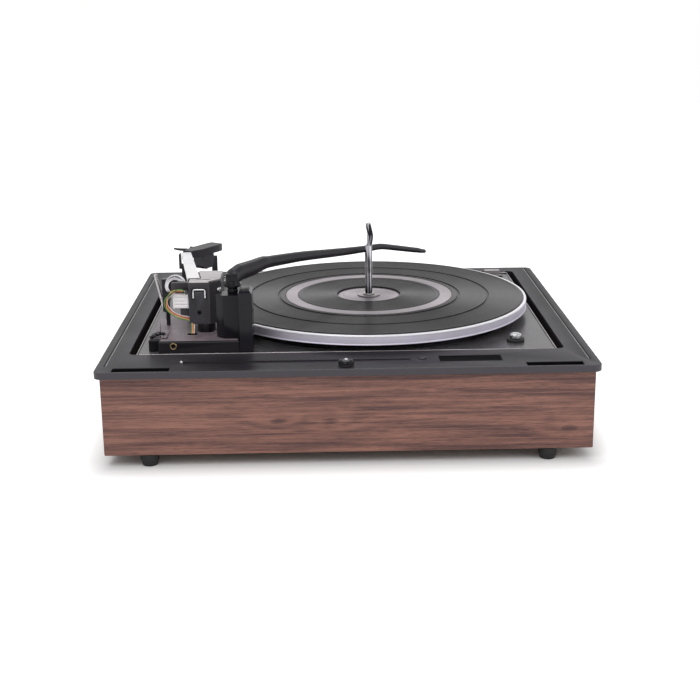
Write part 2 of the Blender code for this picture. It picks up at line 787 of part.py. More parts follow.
def surround_recesses():
    """Hinge slots, the socket recess, the trough and the border grooves, as one cutter."""
    through = DECK_TOP - WEB - OVERRUN
    above = DECK_TOP + OVERRUN
    slot_rear = HALF_DEPTH - HINGE_SLOT_EDGE
    slot_inner = HALF_WIDTH - HINGE_SLOT_SIDE - HINGE_SLOT_LENGTH
    slot_outer = HALF_WIDTH - HINGE_SLOT_SIDE
    forms = []
    for side in (-1, 1):
        across = sorted((side * slot_inner, side * slot_outer))
        forms.append(box(*across, slot_rear - HINGE_SLOT_WIDTH, slot_rear, through, above))
        edge = side * (HALF_WIDTH - GROOVE_INSET)
        groove = sorted((edge, edge - side * GROOVE_WIDTH))
        forms.append(box(*groove, GROOVE_END - HALF_DEPTH, slot_rear - HINGE_SLOT_WIDTH - GROOVE_END,
                         DECK_TOP - GROOVE_DEPTH, above))
    socket_rear = HALF_DEPTH - SOCKET_EDGE
    forms.append(box(SOCKET_X - SOCKET_LENGTH / 2, SOCKET_X + SOCKET_LENGTH / 2, socket_rear - SOCKET_WIDTH,
                     socket_rear, DECK_TOP - SOCKET_DEPTH, above))
    trough_rear = HALF_DEPTH - TROUGH_EDGE
    forms.append(box(TROUGH_END_X, TROUGH_START_X, trough_rear - TROUGH_WIDTH, trough_rear,
                     DECK_TOP - TROUGH_DEPTH, above))
    return merged(forms)


def lid_buffer():
    """The round pad that the lid would rest on."""
    low = DECK_TOP - WEB / 2
    high = DECK_TOP + BUFFER_HEIGHT
    profile = [(0, low)]
    profile += [(BUFFER_RADIUS, low), (BUFFER_RADIUS, DECK_TOP + BUFFER_HEIGHT / 3),
                (BUFFER_RADIUS * 0.8, high - BUFFER_HEIGHT / 6), (BUFFER_RADIUS * 0.5, high), (0, high)]
    return turned(profile, SMALL_ROUND, BUFFER_X, HALF_DEPTH - BUFFER_EDGE)


# Mounting board, springs and transit screws

def mount_places():
    return (
        (MOUNT_LEFT_X, MOUNT_REAR_Y),
        (MOUNT_RIGHT_FRONT_X, MOUNT_FRONT_Y),
        (MOUNT_LEFT_X, MOUNT_FRONT_Y),
        (MOUNT_RIGHT_REAR_X, MOUNT_REAR_Y),
    )


def mounting_board(look):
    """The shelf on the cleats, open in the middle for the works below the plate."""
    low = BOARD_BOTTOM + GAP
    sheet = box(GAP - INSIDE_X, INSIDE_X - GAP, GAP - INSIDE_Y, INSIDE_Y - GAP, low, BOARD_TOP)
    window = prism(rounded(-BOARD_CUT_X, BOARD_CUT_X, BOARD_CUT_FRONT, BOARD_CUT_REAR, BOARD_CUT_CORNER),
                   low - OVERRUN, BOARD_TOP + OVERRUN)
    holes = merged([disc(SCREW_SHANK + GAP, low - OVERRUN, BOARD_TOP + OVERRUN, SMALL_ROUND, x, y)
                    for x, y in mount_places()[:2]])
    solid("mounting_board", sheet, look, (0, 0, low), cut=[window, holes])


def spring_route(x, y):
    """The wire's centre line: a coil between the board and the plate, flatter at both ends."""
    low = BOARD_TOP + GAP * 2 + SPRING_WIRE / 2
    high = PLATE_UNDER - GAP * 2 - SPRING_WIRE / 2
    end_rise = SPRING_WIRE * SPRING_END_CURL
    open_curls = SPRING_CURLS - 2 * SPRING_END_CURL
    count = round(SPRING_CURLS * SPRING_POINTS)
    points = []
    for i in range(count + 1):
        curl = SPRING_CURLS * i / count
        flat = min(curl, SPRING_END_CURL) + max(0, curl - SPRING_CURLS + SPRING_END_CURL)
        steep = min(max(curl - SPRING_END_CURL, 0), open_curls)
        height = low + end_rise * flat / SPRING_END_CURL + (high - low - 2 * end_rise) * steep / open_curls
        turn = math.tau * curl
        points.append(Vector((x + SPRING_RADIUS * math.cos(turn), y + SPRING_RADIUS * math.sin(turn),
                              height)))
    return points


def least_coil_gap(points, radius):
    """The smallest clear distance between one curl and the next."""
    near = [
        (one - two).length - 2 * radius
        for i, one in enumerate(points)
        for two in points[i + SPRING_POINTS // 2 + 1:]
    ]
    return min(near)


def wire(name, points, radius, look, fineness):
    """A round wire along its points, with closed ends."""
    curve = bpy.data.curves.new(name, "CURVE")
    curve.dimensions = "3D"
    curve.bevel_depth = radius
    curve.bevel_resolution = fineness
    curve.use_fill_caps = True
    curve.resolution_u = 1
    run = curve.splines.new("POLY")
    run.points.add(len(points) - 1)
    origin = points[0]
    for spot, point in zip(run.points, points):
        spot.co = (*(point - origin), 1)
    thing = bpy.data.objects.new(name, curve)
    thing.location = origin
    thing.data.materials.append(look)
    bpy.context.scene.collection.objects.link(thing)
    return thing


def suspension_springs(look):
    for number, (x, y) in enumerate(mount_places(), start=1):
        points = spring_route(x, y)
        wire(f"suspension_spring_{number}", points, SPRING_WIRE / 2, look, 1)
    print("least gap between curls", round(least_coil_gap(points, SPRING_WIRE / 2), 5))


def transit_screws(metal, rubber):
    """Two slotted screws on rubber washers, which hold the plate down through its springs."""
    washer_low = PLATE_LEVEL + GAP
    head_low = washer_low + WASHER_HEIGHT + GAP
    head_high = head_low + SCREW_HEAD_HEIGHT
    for number, (x, y) in enumerate(mount_places()[:2], start=1):
        washer = ring(SCREW_SHANK + GAP, WASHER_RADIUS, washer_low, washer_low + WASHER_HEIGHT, MID_ROUND,
                      x, y)
        solid(f"transit_washer_{number}", washer, rubber, (x, y, washer_low))
        bottom = BOARD_BOTTOM - SCREW_REACH
        profile = [
            (0, bottom), (SCREW_SHANK, bottom), (SCREW_SHANK, head_low), (SCREW_HEAD, head_low),
            (SCREW_HEAD, head_high - SCREW_HEAD_HEIGHT / 4), (SCREW_HEAD * 0.8, head_high), (0, head_high),
        ]
        slot = box(x - SCREW_HEAD - OVERRUN, x + SCREW_HEAD + OVERRUN, y - SCREW_SLOT / 2,
                   y + SCREW_SLOT / 2,
                   head_high - SCREW_SLOT_DEPTH, head_high + OVERRUN)
        solid(f"transit_screw_{number}", turned(profile, SMALL_ROUND, x, y), metal, (x, y, head_low),
              cut=[slot])


# Unit plate

def unit_plate(look):
    """The pressed plate: a turned-down skirt, a dish under the platter, studs and openings."""
    low = PLATE_LEVEL - PLATE_SKIRT_DROP
    shell = prism(rounded(-PLATE_X, PLATE_X, PLATE_FRONT, PLATE_REAR, PLATE_CORNER), low, PLATE_LEVEL)
    hollow = prism(rounded(PLATE - PLATE_X, PLATE_X - PLATE, PLATE_FRONT + PLATE, PLATE_REAR - PLATE,
                           PLATE_CORNER - PLATE), low - OVERRUN, PLATE_UNDER)
    spot = PLATTER_X, PLATTER_Y
    bowl = disc(DISH_RADIUS + PLATE, DISH_UNDER, PLATE_LEVEL - PLATE / 2, BIG_ROUND, *spot)
    dish = disc(DISH_RADIUS, DISH_LEVEL, PLATE_LEVEL + OVERRUN, BIG_ROUND, *spot)
    shell = difference(shell, hollow)
    solid("unit_plate", union(shell, bowl), look, (0, 0, PLATE_LEVEL), cut=[*plate_holes(), dish],
          pins=plate_studs())


def union(form, other):
    """The form joined with the other, as a new form."""
    block = mesh_object("block", form, (0, 0, 0))
    mate = mesh_object("mate", other, (0, 0, 0))
    step = block.modifiers.new("join", "BOOLEAN")
    step.operation = "UNION"
    step.object = mate
    shape = block.evaluated_get(bpy.context.evaluated_depsgraph_get()).to_mesh()
    result = bmesh.new()
    result.from_mesh(shape)
    bpy.data.objects.remove(block)
    bpy.data.objects.remove(mate)
    return result


def plate_holes():
    """Round holes for what passes through the plate, and the slots of the three levers."""
    low = DISH_UNDER - OVERRUN
    high = PLATE_LEVEL + OVERRUN
    rounds = [
        (PLATTER_X, PLATTER_Y, POST_RADIUS + GAP),
        (MOTOR_X, MOTOR_Y, PULLEY_STEPS[0] + PLATE),
        (ARM_X, ARM_Y, YOKE_PIN_RADIUS + GAP),
        (LEAD_HOLE_X, LEAD_HOLE_Y, LEAD_HOLE_HALF_LENGTH),
    ]
    rounds += [(x, y, SCREW_SHANK + GAP) for x, y in mount_places()[:2]]
    forms = [disc(radius, low, high, SMALL_ROUND, x, y) for x, y, radius in rounds]
    slots = []
    for x, y, width in lever_places():
        half_y = LEVER_THICKNESS / 2 + LEVER_SLOT_ROOM + LEVER_ARM_LENGTH * (1 - math.cos(LEVER_SWING))
        half_x = width / 2 + LEVER_SLOT_ROOM + LEVER_ARM_LENGTH * math.sin(LEVER_SWING)
        slots.append(box(x - half_x, x + half_x, y - half_y, y + half_y, low, high))
    return [merged(forms), *slots]


def plate_studs():
    """Studs riveted to the plate: for the gear, the idler arm and the levers."""
    studs = [
        disc(GEAR_PIN, DISH_UNDER + PLATE / 2, GEAR_BOTTOM + GEAR_THICKNESS + PLATE / 2, SMALL_ROUND,
             GEAR_X, GEAR_Y),
        disc(PIN_RADIUS, DISH_UNDER + PLATE / 2, IDLER_ARM_LEVEL + IDLER_ARM_THICKNESS + PLATE / 2,
             SMALL_ROUND,
             IDLER_ARM_PIVOT_X, IDLER_ARM_PIVOT_Y),
    ]
    bottom = PLATE_UNDER - GAP - LEVER - PLATE
    for x, y, width in lever_places():
        studs.append(disc(LEVER_STUD, bottom, PLATE_UNDER + PLATE / 2, SMALL_ROUND, *lever_pivot(x, y)))
    return studs


# Bearing, spindle and platter

def bearing_post(look):
    """The fixed post that the platter turns on, flanged under the dish and grooved for its clip."""
    bore = SPINDLE_RADIUS + GAP
    flange_top = DISH_UNDER - GAP
    groove_low = CENTRE_TOP
    groove_high = groove_low + 2 * GAP + CLIP_THICKNESS
    profile = [
        (bore, POST_BOTTOM), (POST_RADIUS, POST_BOTTOM), (POST_RADIUS, flange_top - POST_FLANGE),
        (POST_FLANGE_RADIUS, flange_top - POST_FLANGE), (POST_FLANGE_RADIUS, flange_top),
        (POST_RADIUS, flange_top), (POST_RADIUS, groove_low), (POST_RADIUS - POST_GROOVE_DEPTH, groove_low),
        (POST_RADIUS - POST_GROOVE_DEPTH, groove_high), (POST_RADIUS, groove_high),
        (POST_RADIUS, groove_high + POST_HEAD), (bore, groove_high + POST_HEAD),
    ]
    solid(
        "bearing_post", turned(profile, MID_ROUND, PLATTER_X, PLATTER_Y), look,
        (PLATTER_X, PLATTER_Y, flange_top),
    )


def thrust_race(look):
    low = DISH_LEVEL + GAP
    high = PINION_BOTTOM - GAP
    inner = POST_RADIUS + GAP
    middle = (low + high) / 2
    profile = [
        (inner, low), (RACE_RADIUS, low), (RACE_RADIUS, middle - RACE_ROUND),
        (RACE_RADIUS - RACE_ROUND, middle), (RACE_RADIUS, middle + RACE_ROUND), (RACE_RADIUS, high),
        (inner, high),
    ]
    solid(
        "thrust_race", turned(profile, MID_ROUND, PLATTER_X, PLATTER_Y), look, (PLATTER_X, PLATTER_Y, low)
    )


def platter_clip(look):
    """An open ring in the post's groove, over the platter's hub."""
    low = CENTRE_TOP + GAP
    inner = POST_RADIUS - POST_GROOVE_DEPTH + GAP
    start = -math.pi / 2 + CLIP_MOUTH / 2
    end = start + math.tau - CLIP_MOUTH
    outline = arc(PLATTER_X, PLATTER_Y, CLIP_RADIUS, start, end, SMALL_ROUND)
    outline += arc(PLATTER_X, PLATTER_Y, inner, end, start, SMALL_ROUND)
    solid("platter_clip", prism(outline, low, low + CLIP_THICKNESS), look, (PLATTER_X, PLATTER_Y, low))


def spindle_sections():
    """The spindle's centre offset, radius and height, from its foot to its tip."""
    rise = SPINDLE_TOP - LEDGE_HEIGHT
    tip = SPINDLE_TIP_RADIUS
    step = SPINDLE_RADIUS - tip
    return [
        (0, SPINDLE_RADIUS, SPINDLE_BOTTOM), (0, SPINDLE_RADIUS, LEDGE_HEIGHT),
        (-step, tip, LEDGE_HEIGHT), (-step - SPINDLE_BEND / 3, tip, LEDGE_HEIGHT + rise * 0.18),
        (-SPINDLE_BEND, tip, LEDGE_HEIGHT + rise * 0.34),
        (-SPINDLE_BEND, tip, LEDGE_HEIGHT + rise * 0.45),
        (-SPINDLE_BEND / 2, tip, LEDGE_HEIGHT + rise * 0.66), (0, tip * 0.98, LEDGE_HEIGHT + rise * 0.86),
        (0, tip * 0.8, LEDGE_HEIGHT + rise * 0.95), (0, tip * 0.45, SPINDLE_TOP),
    ]


def record_spindle(look):
    """The bent spindle with the ledge that holds up the stack, slotted for its latch."""
    rings = [
        [(x, y, height) for x, y in arc(PLATTER_X + offset, PLATTER_Y, radius, 0, math.tau,
                                        SMALL_ROUND)[:-1]]
        for offset, radius, height in spindle_sections()
    ]
    half = LATCH_WIDTH / 2 + GAP
    slot = box(PLATTER_X - HUB_RADIUS, PLATTER_X + HUB_RADIUS, PLATTER_Y - half, PLATTER_Y + half,
               LATCH_BOTTOM - GAP, LATCH_BOTTOM + LATCH_HEIGHT + GAP)
    solid("record_spindle", lofted(rings), look, (PLATTER_X, PLATTER_Y, SPINDLE_BOTTOM), cut=[slot])


def spindle_latch(look, pivot):
    """The blade that pushes the lowest record off the ledge."""
    right = PLATTER_X + LATCH_LENGTH / 2 - SPINDLE_BEND / 2
    left = right - LATCH_LENGTH
    low = LATCH_BOTTOM
    high = low + LATCH_HEIGHT
    nose = LATCH_LENGTH / 4
    side = [(left, low + nose), (left + nose, low), (right, low), (right, high), (left + nose, high),
            (left, high - nose)]
    rings = [
        [(x, y, z) for x, z in side] for y in (PLATTER_Y - LATCH_WIDTH / 2, PLATTER_Y + LATCH_WIDTH / 2)
    ]
    carry(solid("spindle_latch", lofted(rings), look, (PLATTER_X, PLATTER_Y, low)), pivot)


def tooth_outline(x, y, module, places, teeth, facing):
    """A spur gear's outline; places without a tooth are a smooth gap centred on one direction."""
    pitch = module * places / 2
    root = pitch - module * ROOT_SHARE
    tip = pitch + module * TIP_SHARE
    step = math.tau / places
    first = facing + (places - teeth + 1) * step / 2
    points = []
    for number in range(teeth):
        middle = first + number * step
        for radius, lean in ((root, -ROOT_HALF_SHARE), (tip, -TIP_HALF_SHARE), (tip, TIP_HALF_SHARE),
                             (root, ROOT_HALF_SHARE)):
            turn = middle + lean * step
            points.append((x + radius * math.cos(turn), y + radius * math.sin(turn)))
    missing = places - teeth
    for number in range(1, 2 * missing + 1):
        turn = first + (teeth - 1 + number / 2) * step
        points.append((x + root * math.cos(turn), y + root * math.sin(turn)))
    return points


def platter(look, pivot):
    """The pressed platter: rim, web, raised centre, inner drive flange, hub and its pinion."""
    web_low = PLATTER_WEB_TOP - PLATTER_WEB
    lip = PLATTER_RADIUS - RIM_LIP
    flange_outer = FLANGE_INNER + FLANGE_WALL
    core = POST_RADIUS / 2
    profile = [
        (core, HUB_BOTTOM), (HUB_RADIUS, HUB_BOTTOM), (HUB_RADIUS, web_low), (FLANGE_INNER, web_low),
        (FLANGE_INNER, FLANGE_BOTTOM), (flange_outer, FLANGE_BOTTOM), (flange_outer, web_low),
        (PLATTER_RADIUS - RIM_WALL, web_low), (PLATTER_RADIUS - RIM_WALL, RIM_BOTTOM),
        (PLATTER_RADIUS, RIM_BOTTOM), (PLATTER_RADIUS, RIM_TOP - RIM_ROUND),
        (PLATTER_RADIUS - RIM_ROUND, RIM_TOP), (lip, RIM_TOP), (lip, PLATTER_WEB_TOP),
        (CENTRE_RADIUS + GAP, PLATTER_WEB_TOP), (CENTRE_RADIUS, CENTRE_TOP), (core, CENTRE_TOP),
    ]
    teeth = tooth_outline(PLATTER_X, PLATTER_Y, GEAR_MODULE, PINION_TEETH, PINION_TEETH, 0)
    pinion = prism(teeth, PINION_BOTTOM, HUB_BOTTOM + GAP)
    bore = disc(POST_RADIUS + GAP, PINION_BOTTOM - OVERRUN, CENTRE_TOP + OVERRUN, MID_ROUND, PLATTER_X,
                PLATTER_Y)
    body = turned(profile, BIG_ROUND, PLATTER_X, PLATTER_Y)
    piece = solid("platter", body, look, (PLATTER_X, PLATTER_Y, PLATTER_WEB_TOP), add=[pinion], cut=[bore])
    carry(piece, pivot)


def platter_mat(look, pivot):
    """The rubber mat with a ring groove near its edge and a stepped field inside."""
    low = PLATTER_WEB_TOP + GAP
    outer = PLATTER_RADIUS - RIM_LIP - GAP
    groove = MAT_GROOVE_RADIUS - MAT_GROOVE_WIDTH / 2
    step = MAT_STEP_RADIUS - MAT_STEP_WIDTH / 2
    floor = MAT_TOP - MAT_GROOVE_DEPTH
    bed = MAT_TOP - TRIM_HEIGHT
    profile = [
        (MAT_INNER, low), (outer, low), (outer, MAT_TOP - MAT_EDGE_ROUND),
        (outer - MAT_EDGE_ROUND, MAT_TOP), (groove + MAT_GROOVE_WIDTH, MAT_TOP),
        (groove + MAT_GROOVE_WIDTH, floor), (groove, floor), (groove, MAT_TOP),
        (step + MAT_STEP_WIDTH, MAT_TOP), (step + MAT_STEP_WIDTH, floor), (step, floor), (step, MAT_TOP),
        (TRIM_OUTER + GAP, MAT_TOP), (TRIM_OUTER + GAP, bed), (TRIM_INNER - GAP, bed),
        (TRIM_INNER - GAP, MAT_TOP), (MAT_INNER, MAT_TOP),
    ]
    carry(solid("platter_mat", turned(profile, BIG_ROUND, PLATTER_X, PLATTER_Y), look,
                (PLATTER_X, PLATTER_Y, low)), pivot)


def mat_ring(look, pivot):
    """The bright trim ring let into the mat."""
    low = MAT_TOP - TRIM_HEIGHT + GAP
    high = low + TRIM_HEIGHT
    profile = [
        (TRIM_INNER, low), (TRIM_OUTER, low), (TRIM_OUTER, high - TRIM_ROUND),
        (TRIM_OUTER - TRIM_ROUND, high), (TRIM_INNER + TRIM_ROUND, high), (TRIM_INNER, high - TRIM_ROUND),
    ]
    carry(solid("mat_ring", turned(profile, BIG_ROUND, PLATTER_X, PLATTER_Y), look,
                (PLATTER_X, PLATTER_Y, low)), pivot)


# Motor and idler drive

def motor_stator(look):
    """The stack of laminations: a bore for the rotor and a window for the coil."""
    half = STATOR_HALF
    tail = MOTOR_Y - half - STATOR_TAIL
    body = prism(rounded(MOTOR_X - half, MOTOR_X + half, tail, MOTOR_Y + half, STATOR_CORNER),
                 STATOR_BOTTOM, STATOR_BOTTOM + STATOR_HEIGHT)
    low = STATOR_BOTTOM - OVERRUN
    high = STATOR_BOTTOM + STATOR_HEIGHT + OVERRUN
    bore = disc(ROTOR_RADIUS + ROTOR_CLEARANCE, low, high, MID_ROUND, MOTOR_X, MOTOR_Y)
    window = box(MOTOR_X - STATOR_WINDOW_WIDTH / 2, MOTOR_X + STATOR_WINDOW_WIDTH / 2, *window_depths(),
                 low, high)
    solid("motor_stator", body, look, (MOTOR_X, MOTOR_Y, STATOR_BOTTOM), cut=[bore, window])


def window_depths():
    """Front and rear edges of the coil window."""
    front = MOTOR_Y - STATOR_HALF - STATOR_TAIL + COIL_DEPTH
    return front, front + STATOR_WINDOW_DEPTH


def motor_coil(look):
    """The winding on the stator's outer limb."""
    limb_front = MOTOR_Y - STATOR_HALF - STATOR_TAIL
    limb_rear = window_depths()[0]
    left = MOTOR_X - COIL_WIDTH / 2
    right = MOTOR_X + COIL_WIDTH / 2
    wind = COIL_DEPTH * 0.8
    top = STATOR_BOTTOM + STATOR_HEIGHT
    body = box(left, right, limb_front - wind, limb_rear + wind, STATOR_BOTTOM - wind, top + wind)
    core = box(left - OVERRUN, right + OVERRUN, limb_front - GAP, limb_rear + GAP, STATOR_BOTTOM - GAP,
               top + GAP)
    solid("motor_coil", body, look, (MOTOR_X, limb_front, STATOR_BOTTOM), cut=[core])


def motor_brackets(look):
    """Two bent straps with bearing bosses; the upper one hangs from the dish on two posts."""
    top = STATOR_BOTTOM + STATOR_HEIGHT
    for name, face, side in (("motor_bracket_top", top + GAP, 1), ("motor_bracket_bottom",
                                                                   STATOR_BOTTOM - GAP, -1)):
        strap_near = face + side * BRACKET_RISE
        strap_far = strap_near + side * BRACKET
        levels = sorted((strap_near, strap_far))
        reach = MOTOR_MOUNT_SPREAD
        strap = prism(rounded(MOTOR_X - reach, MOTOR_X + reach, MOTOR_Y - BRACKET_STRAP,
                              MOTOR_Y + BRACKET_STRAP,
                              BRACKET_STRAP / 2), *levels)
        leg_levels = sorted((face, strap_near + side * BRACKET / 2))
        legs = [
            box(*sorted((MOTOR_X + way * STATOR_HALF, MOTOR_X + way * (STATOR_HALF - BRACKET * 2))),
                MOTOR_Y - BRACKET_STRAP, MOTOR_Y + BRACKET_STRAP, *leg_levels)
            for way in (-1, 1)
        ]
        boss_levels = sorted((strap_near + side * BRACKET / 2, strap_far + side * BRACKET))
        parts = legs + [disc(MOTOR_SHAFT * 3, *boss_levels, SMALL_ROUND, MOTOR_X, MOTOR_Y)]
        if side > 0:
            parts += [
                disc(GROMMET_POST, strap_near + BRACKET / 2, DISH_UNDER - GAP, SMALL_ROUND,
                     MOTOR_X + way * (reach - GROMMET_POST), MOTOR_Y)
                for way in (-1, 1)
            ]
        low, high = sorted((face - side * OVERRUN, strap_far + side * (BRACKET + OVERRUN)))
        hole = disc(MOTOR_SHAFT + GAP, low, high, SMALL_ROUND, MOTOR_X, MOTOR_Y)
        solid(name, strap, look, (MOTOR_X, MOTOR_Y, face), add=parts, cut=[hole])


def motor_rotor(look, pivot):
    """The squirrel-cage rotor on its shaft, which runs up through the plate."""
    low = STATOR_BOTTOM + GAP * 3
    high = STATOR_BOTTOM + STATOR_HEIGHT - GAP * 3
    bottom = STATOR_BOTTOM - BRACKET_RISE - BRACKET * 3
    top = pulley_top() - PIN_RADIUS
    profile = [
        (0, bottom), (MOTOR_SHAFT, bottom), (MOTOR_SHAFT, low), (ROTOR_RADIUS, low), (ROTOR_RADIUS, high),
        (MOTOR_SHAFT, high), (MOTOR_SHAFT, pulley_low() - GAP), (MOTOR_SHAFT * 0.6, pulley_low() - GAP),
        (MOTOR_SHAFT * 0.6, top), (0, top),
    ]
    carry(solid("motor_rotor", turned(profile, MID_ROUND, MOTOR_X, MOTOR_Y), look,
                (MOTOR_X, MOTOR_Y, STATOR_BOTTOM)), pivot)


def pulley_low():
    """The pulley's foot, placed so that the idler runs on the top step."""
    return IDLER_BOTTOM - PULLEY_STEP_HEIGHT * (len(PULLEY_STEPS) - 1) - GAP


def pulley_top():
    return pulley_low() + PULLEY_STEP_HEIGHT * len(PULLEY_STEPS) + PULLEY_CAP


def motor_pulley(look, pivot):
    """The stepped pulley, widest at the bottom, one step for each speed."""
    low = pulley_low()
    bore = MOTOR_SHAFT * 0.6 + GAP
    closed = pulley_top() - PIN_RADIUS + GAP
    profile = [(bore, low)]
    for number, radius in enumerate(PULLEY_STEPS):
        profile.append((radius, low + PULLEY_STEP_HEIGHT * number))
        profile.append((radius, low + PULLEY_STEP_HEIGHT * (number + 1)))
    profile += [(PULLEY_STEPS[-1] * 0.9, pulley_top()), (0, pulley_top()), (0, closed), (bore, closed)]
    carry(
        solid(
            "motor_pulley", turned(profile, MID_ROUND, MOTOR_X, MOTOR_Y), look, (MOTOR_X, MOTOR_Y, low)
        ),
        pivot,
    )


def idler_place():
    """Where the idler touches both the flange and the pulley's top step."""
    from_platter = FLANGE_INNER * math.cos(math.pi / BIG_ROUND) - IDLER_RADIUS - GAP
    from_motor = IDLER_RADIUS + PULLEY_STEPS[-1] + GAP
    across = Vector((MOTOR_X - PLATTER_X, MOTOR_Y - PLATTER_Y))
    apart = across.length
    along = (from_platter ** 2 - from_motor ** 2 + apart ** 2) / (2 * apart)
    aside = math.sqrt(from_platter ** 2 - along ** 2)
    ahead = across / apart
    return (PLATTER_X + along * ahead.x - aside * ahead.y, PLATTER_Y + along * ahead.y + aside * ahead.x)


def idler_arm(look, pivot):
    """A flat link between the idler's pin and the stud that it swings on."""
    x, y = idler_place()
    low = IDLER_ARM_LEVEL
    high = low + IDLER_ARM_THICKNESS
    here = Vector((IDLER_ARM_PIVOT_X, IDLER_ARM_PIVOT_Y))
    ahead = Vector((x, y)) - here
    turn = math.atan2(ahead.y, ahead.x)
    quarter = math.pi / 2
    outline = arc(x, y, IDLER_ARM_EYE, turn - quarter, turn + quarter, SMALL_ROUND // 2)
    outline += arc(*here, IDLER_ARM_EYE, turn + quarter, turn + 3 * quarter, SMALL_ROUND // 2)
    pin = disc(PIN_RADIUS, low + IDLER_ARM_THICKNESS / 2, IDLER_TOP + IDLER_WEB, SMALL_ROUND, x, y)
    hole = disc(PIN_RADIUS + GAP, low - OVERRUN, high + OVERRUN, SMALL_ROUND, *here)
    carry(solid("idler_arm", prism(outline, low, high), look, (*here, low), add=[pin], cut=[hole]), pivot)


def idler_wheel(look, pivot):
    """The rubber-tyred wheel: a thin web, a hub and a square rim."""
    x, y = idler_place()
    bore = PIN_RADIUS + GAP
    middle = (IDLER_BOTTOM + IDLER_TOP) / 2
    rim = IDLER_RADIUS * 0.85
    hub_low = IDLER_ARM_LEVEL + IDLER_ARM_THICKNESS + GAP
    profile = [
        (bore, hub_low), (IDLER_HUB, hub_low), (IDLER_HUB, middle - IDLER_WEB / 2),
        (rim, middle - IDLER_WEB / 2), (rim, IDLER_BOTTOM), (IDLER_RADIUS, IDLER_BOTTOM),
        (IDLER_RADIUS, IDLER_TOP), (rim, IDLER_TOP), (rim, middle + IDLER_WEB / 2),
        (IDLER_HUB, middle + IDLER_WEB / 2), (IDLER_HUB, IDLER_TOP), (bore, IDLER_TOP),
    ]
    carry(solid("idler_wheel", turned(profile, MID_ROUND, x, y), look, (x, y, IDLER_BOTTOM)), pivot)


# Cycle gear

def band(inner, outer, low, high):
    """A closed ring between two outlines of as many points each."""
    form = bmesh.new()
    loops = [
        [form.verts.new((x, y, level)) for x, y in outline]
        for outline, level in ((inner, low), (outer, low), (outer, high), (inner, high))
    ]
    for one, two in zip(loops, loops[1:] + loops[:1]):
        for i in range(len(one)):
            form.faces.new((one[i - 1], one[i], two[i], two[i - 1]))
    return close(form)


def cam_track():
    """The groove in the gear's face: round while the gear rests, drawn inward over the cycle."""
    inner, outer = [], []
    facing = GEAR_BEARING
    for i in range(CAM_STEPS):
        turn = math.tau * i / CAM_STEPS
        away = math.cos(turn - facing - FOLLOWER_TURN)
        draw = CAM_DIP * max(0, -away) ** 2
        for points, radius in ((inner, CAM_INNER - draw), (outer, CAM_INNER - draw + CAM_WIDTH)):
            points.append((GEAR_X + radius * math.cos(turn), GEAR_Y + radius * math.sin(turn)))
    top = GEAR_BOTTOM + GEAR_THICKNESS
    return band(inner, outer, top - CAM_DEPTH, top + OVERRUN)


def cycle_gear(look, pivot):
    """The change-cycle gear: teeth but for a gap that faces the pinion, a cam track and light holes."""
    low = GEAR_BOTTOM
    high = low + GEAR_THICKNESS
    facing = GEAR_BEARING + math.pi
    outline = tooth_outline(GEAR_X, GEAR_Y, GEAR_MODULE, GEAR_PLACES, GEAR_PLACES - GEAR_MISSING, facing)
    holes = [disc(GEAR_PIN + GAP, low - OVERRUN, high + OVERRUN, SMALL_ROUND, GEAR_X, GEAR_Y)]
    for number in range(GEAR_HOLES):
        turn = math.tau * number / GEAR_HOLES + facing
        holes.append(disc(GEAR_HOLE_RADIUS, low - OVERRUN, high + OVERRUN, SMALL_ROUND - CORNER_STEPS,
                          GEAR_X + GEAR_HOLE_RING * math.cos(turn), GEAR_Y + GEAR_HOLE_RING * math.sin(turn)))
    piece = solid("cycle_gear", prism(outline, low, high), look, (GEAR_X, GEAR_Y, low),
                  cut=[merged(holes), cam_track()])
    carry(piece, pivot)


def cycle_lever(look):
    """The follower that rides in the cam track, on its own stud."""
    turn = GEAR_BEARING + FOLLOWER_TURN
    near = CAM_INNER + CAM_WIDTH / 2
    far = near + FOLLOWER_LENGTH
    tip = GEAR_X + near * math.cos(turn), GEAR_Y + near * math.sin(turn)
    foot = GEAR_X + far * math.cos(turn), GEAR_Y + far * math.sin(turn)
    low = GEAR_BOTTOM + GEAR_THICKNESS + GAP
    high = low + PLATE
    quarter = math.pi / 2
    outline = arc(*foot, FOLLOWER_WIDTH / 2, turn - quarter, turn + quarter, SMALL_ROUND // 2)
    outline += arc(*tip, FOLLOWER_WIDTH / 3, turn + quarter, turn + 3 * quarter, SMALL_ROUND // 2)
    pin = disc(CAM_WIDTH / 2 - GAP, low - CAM_DEPTH * 0.8, low + PLATE / 2, SMALL_ROUND, *tip)
    stud = disc(FOLLOWER_WIDTH / 3, DISH_LEVEL + GAP, low + PLATE / 2, SMALL_ROUND, *foot)
    solid("cycle_lever", prism(outline, low, high), look, (*foot, low), add=[pin, stud])


# Switch and terminals on the mounting board

def power_switch(look):
    """The mains switch: a moulded box with a plunger and fixing ears."""
    low = BOARD_TOP + GAP
    half_x = SWITCH_LENGTH / 2
    half_y = SWITCH_WIDTH / 2
    body = box(SWITCH_X - half_x, SWITCH_X + half_x, SWITCH_Y - half_y, SWITCH_Y + half_y, low,
               low + SWITCH_HEIGHT)
    ear = half_x + SWITCH_WIDTH / 3
    ears = box(SWITCH_X - ear, SWITCH_X + ear, SWITCH_Y - half_y / 2, SWITCH_Y + half_y / 2, low,
               low + PLATE)
    plunger = rod((SWITCH_X, SWITCH_Y - half_y + OVERRUN, low + SWITCH_HEIGHT * 0.7),
                  (SWITCH_X, SWITCH_Y - half_y - SWITCH_WIDTH / 4,
                   low + SWITCH_HEIGHT * 0.7), PIN_RADIUS, SMALL_ROUND)
    solid("power_switch", body, look, (SWITCH_X, SWITCH_Y, low), add=[ears, plunger])


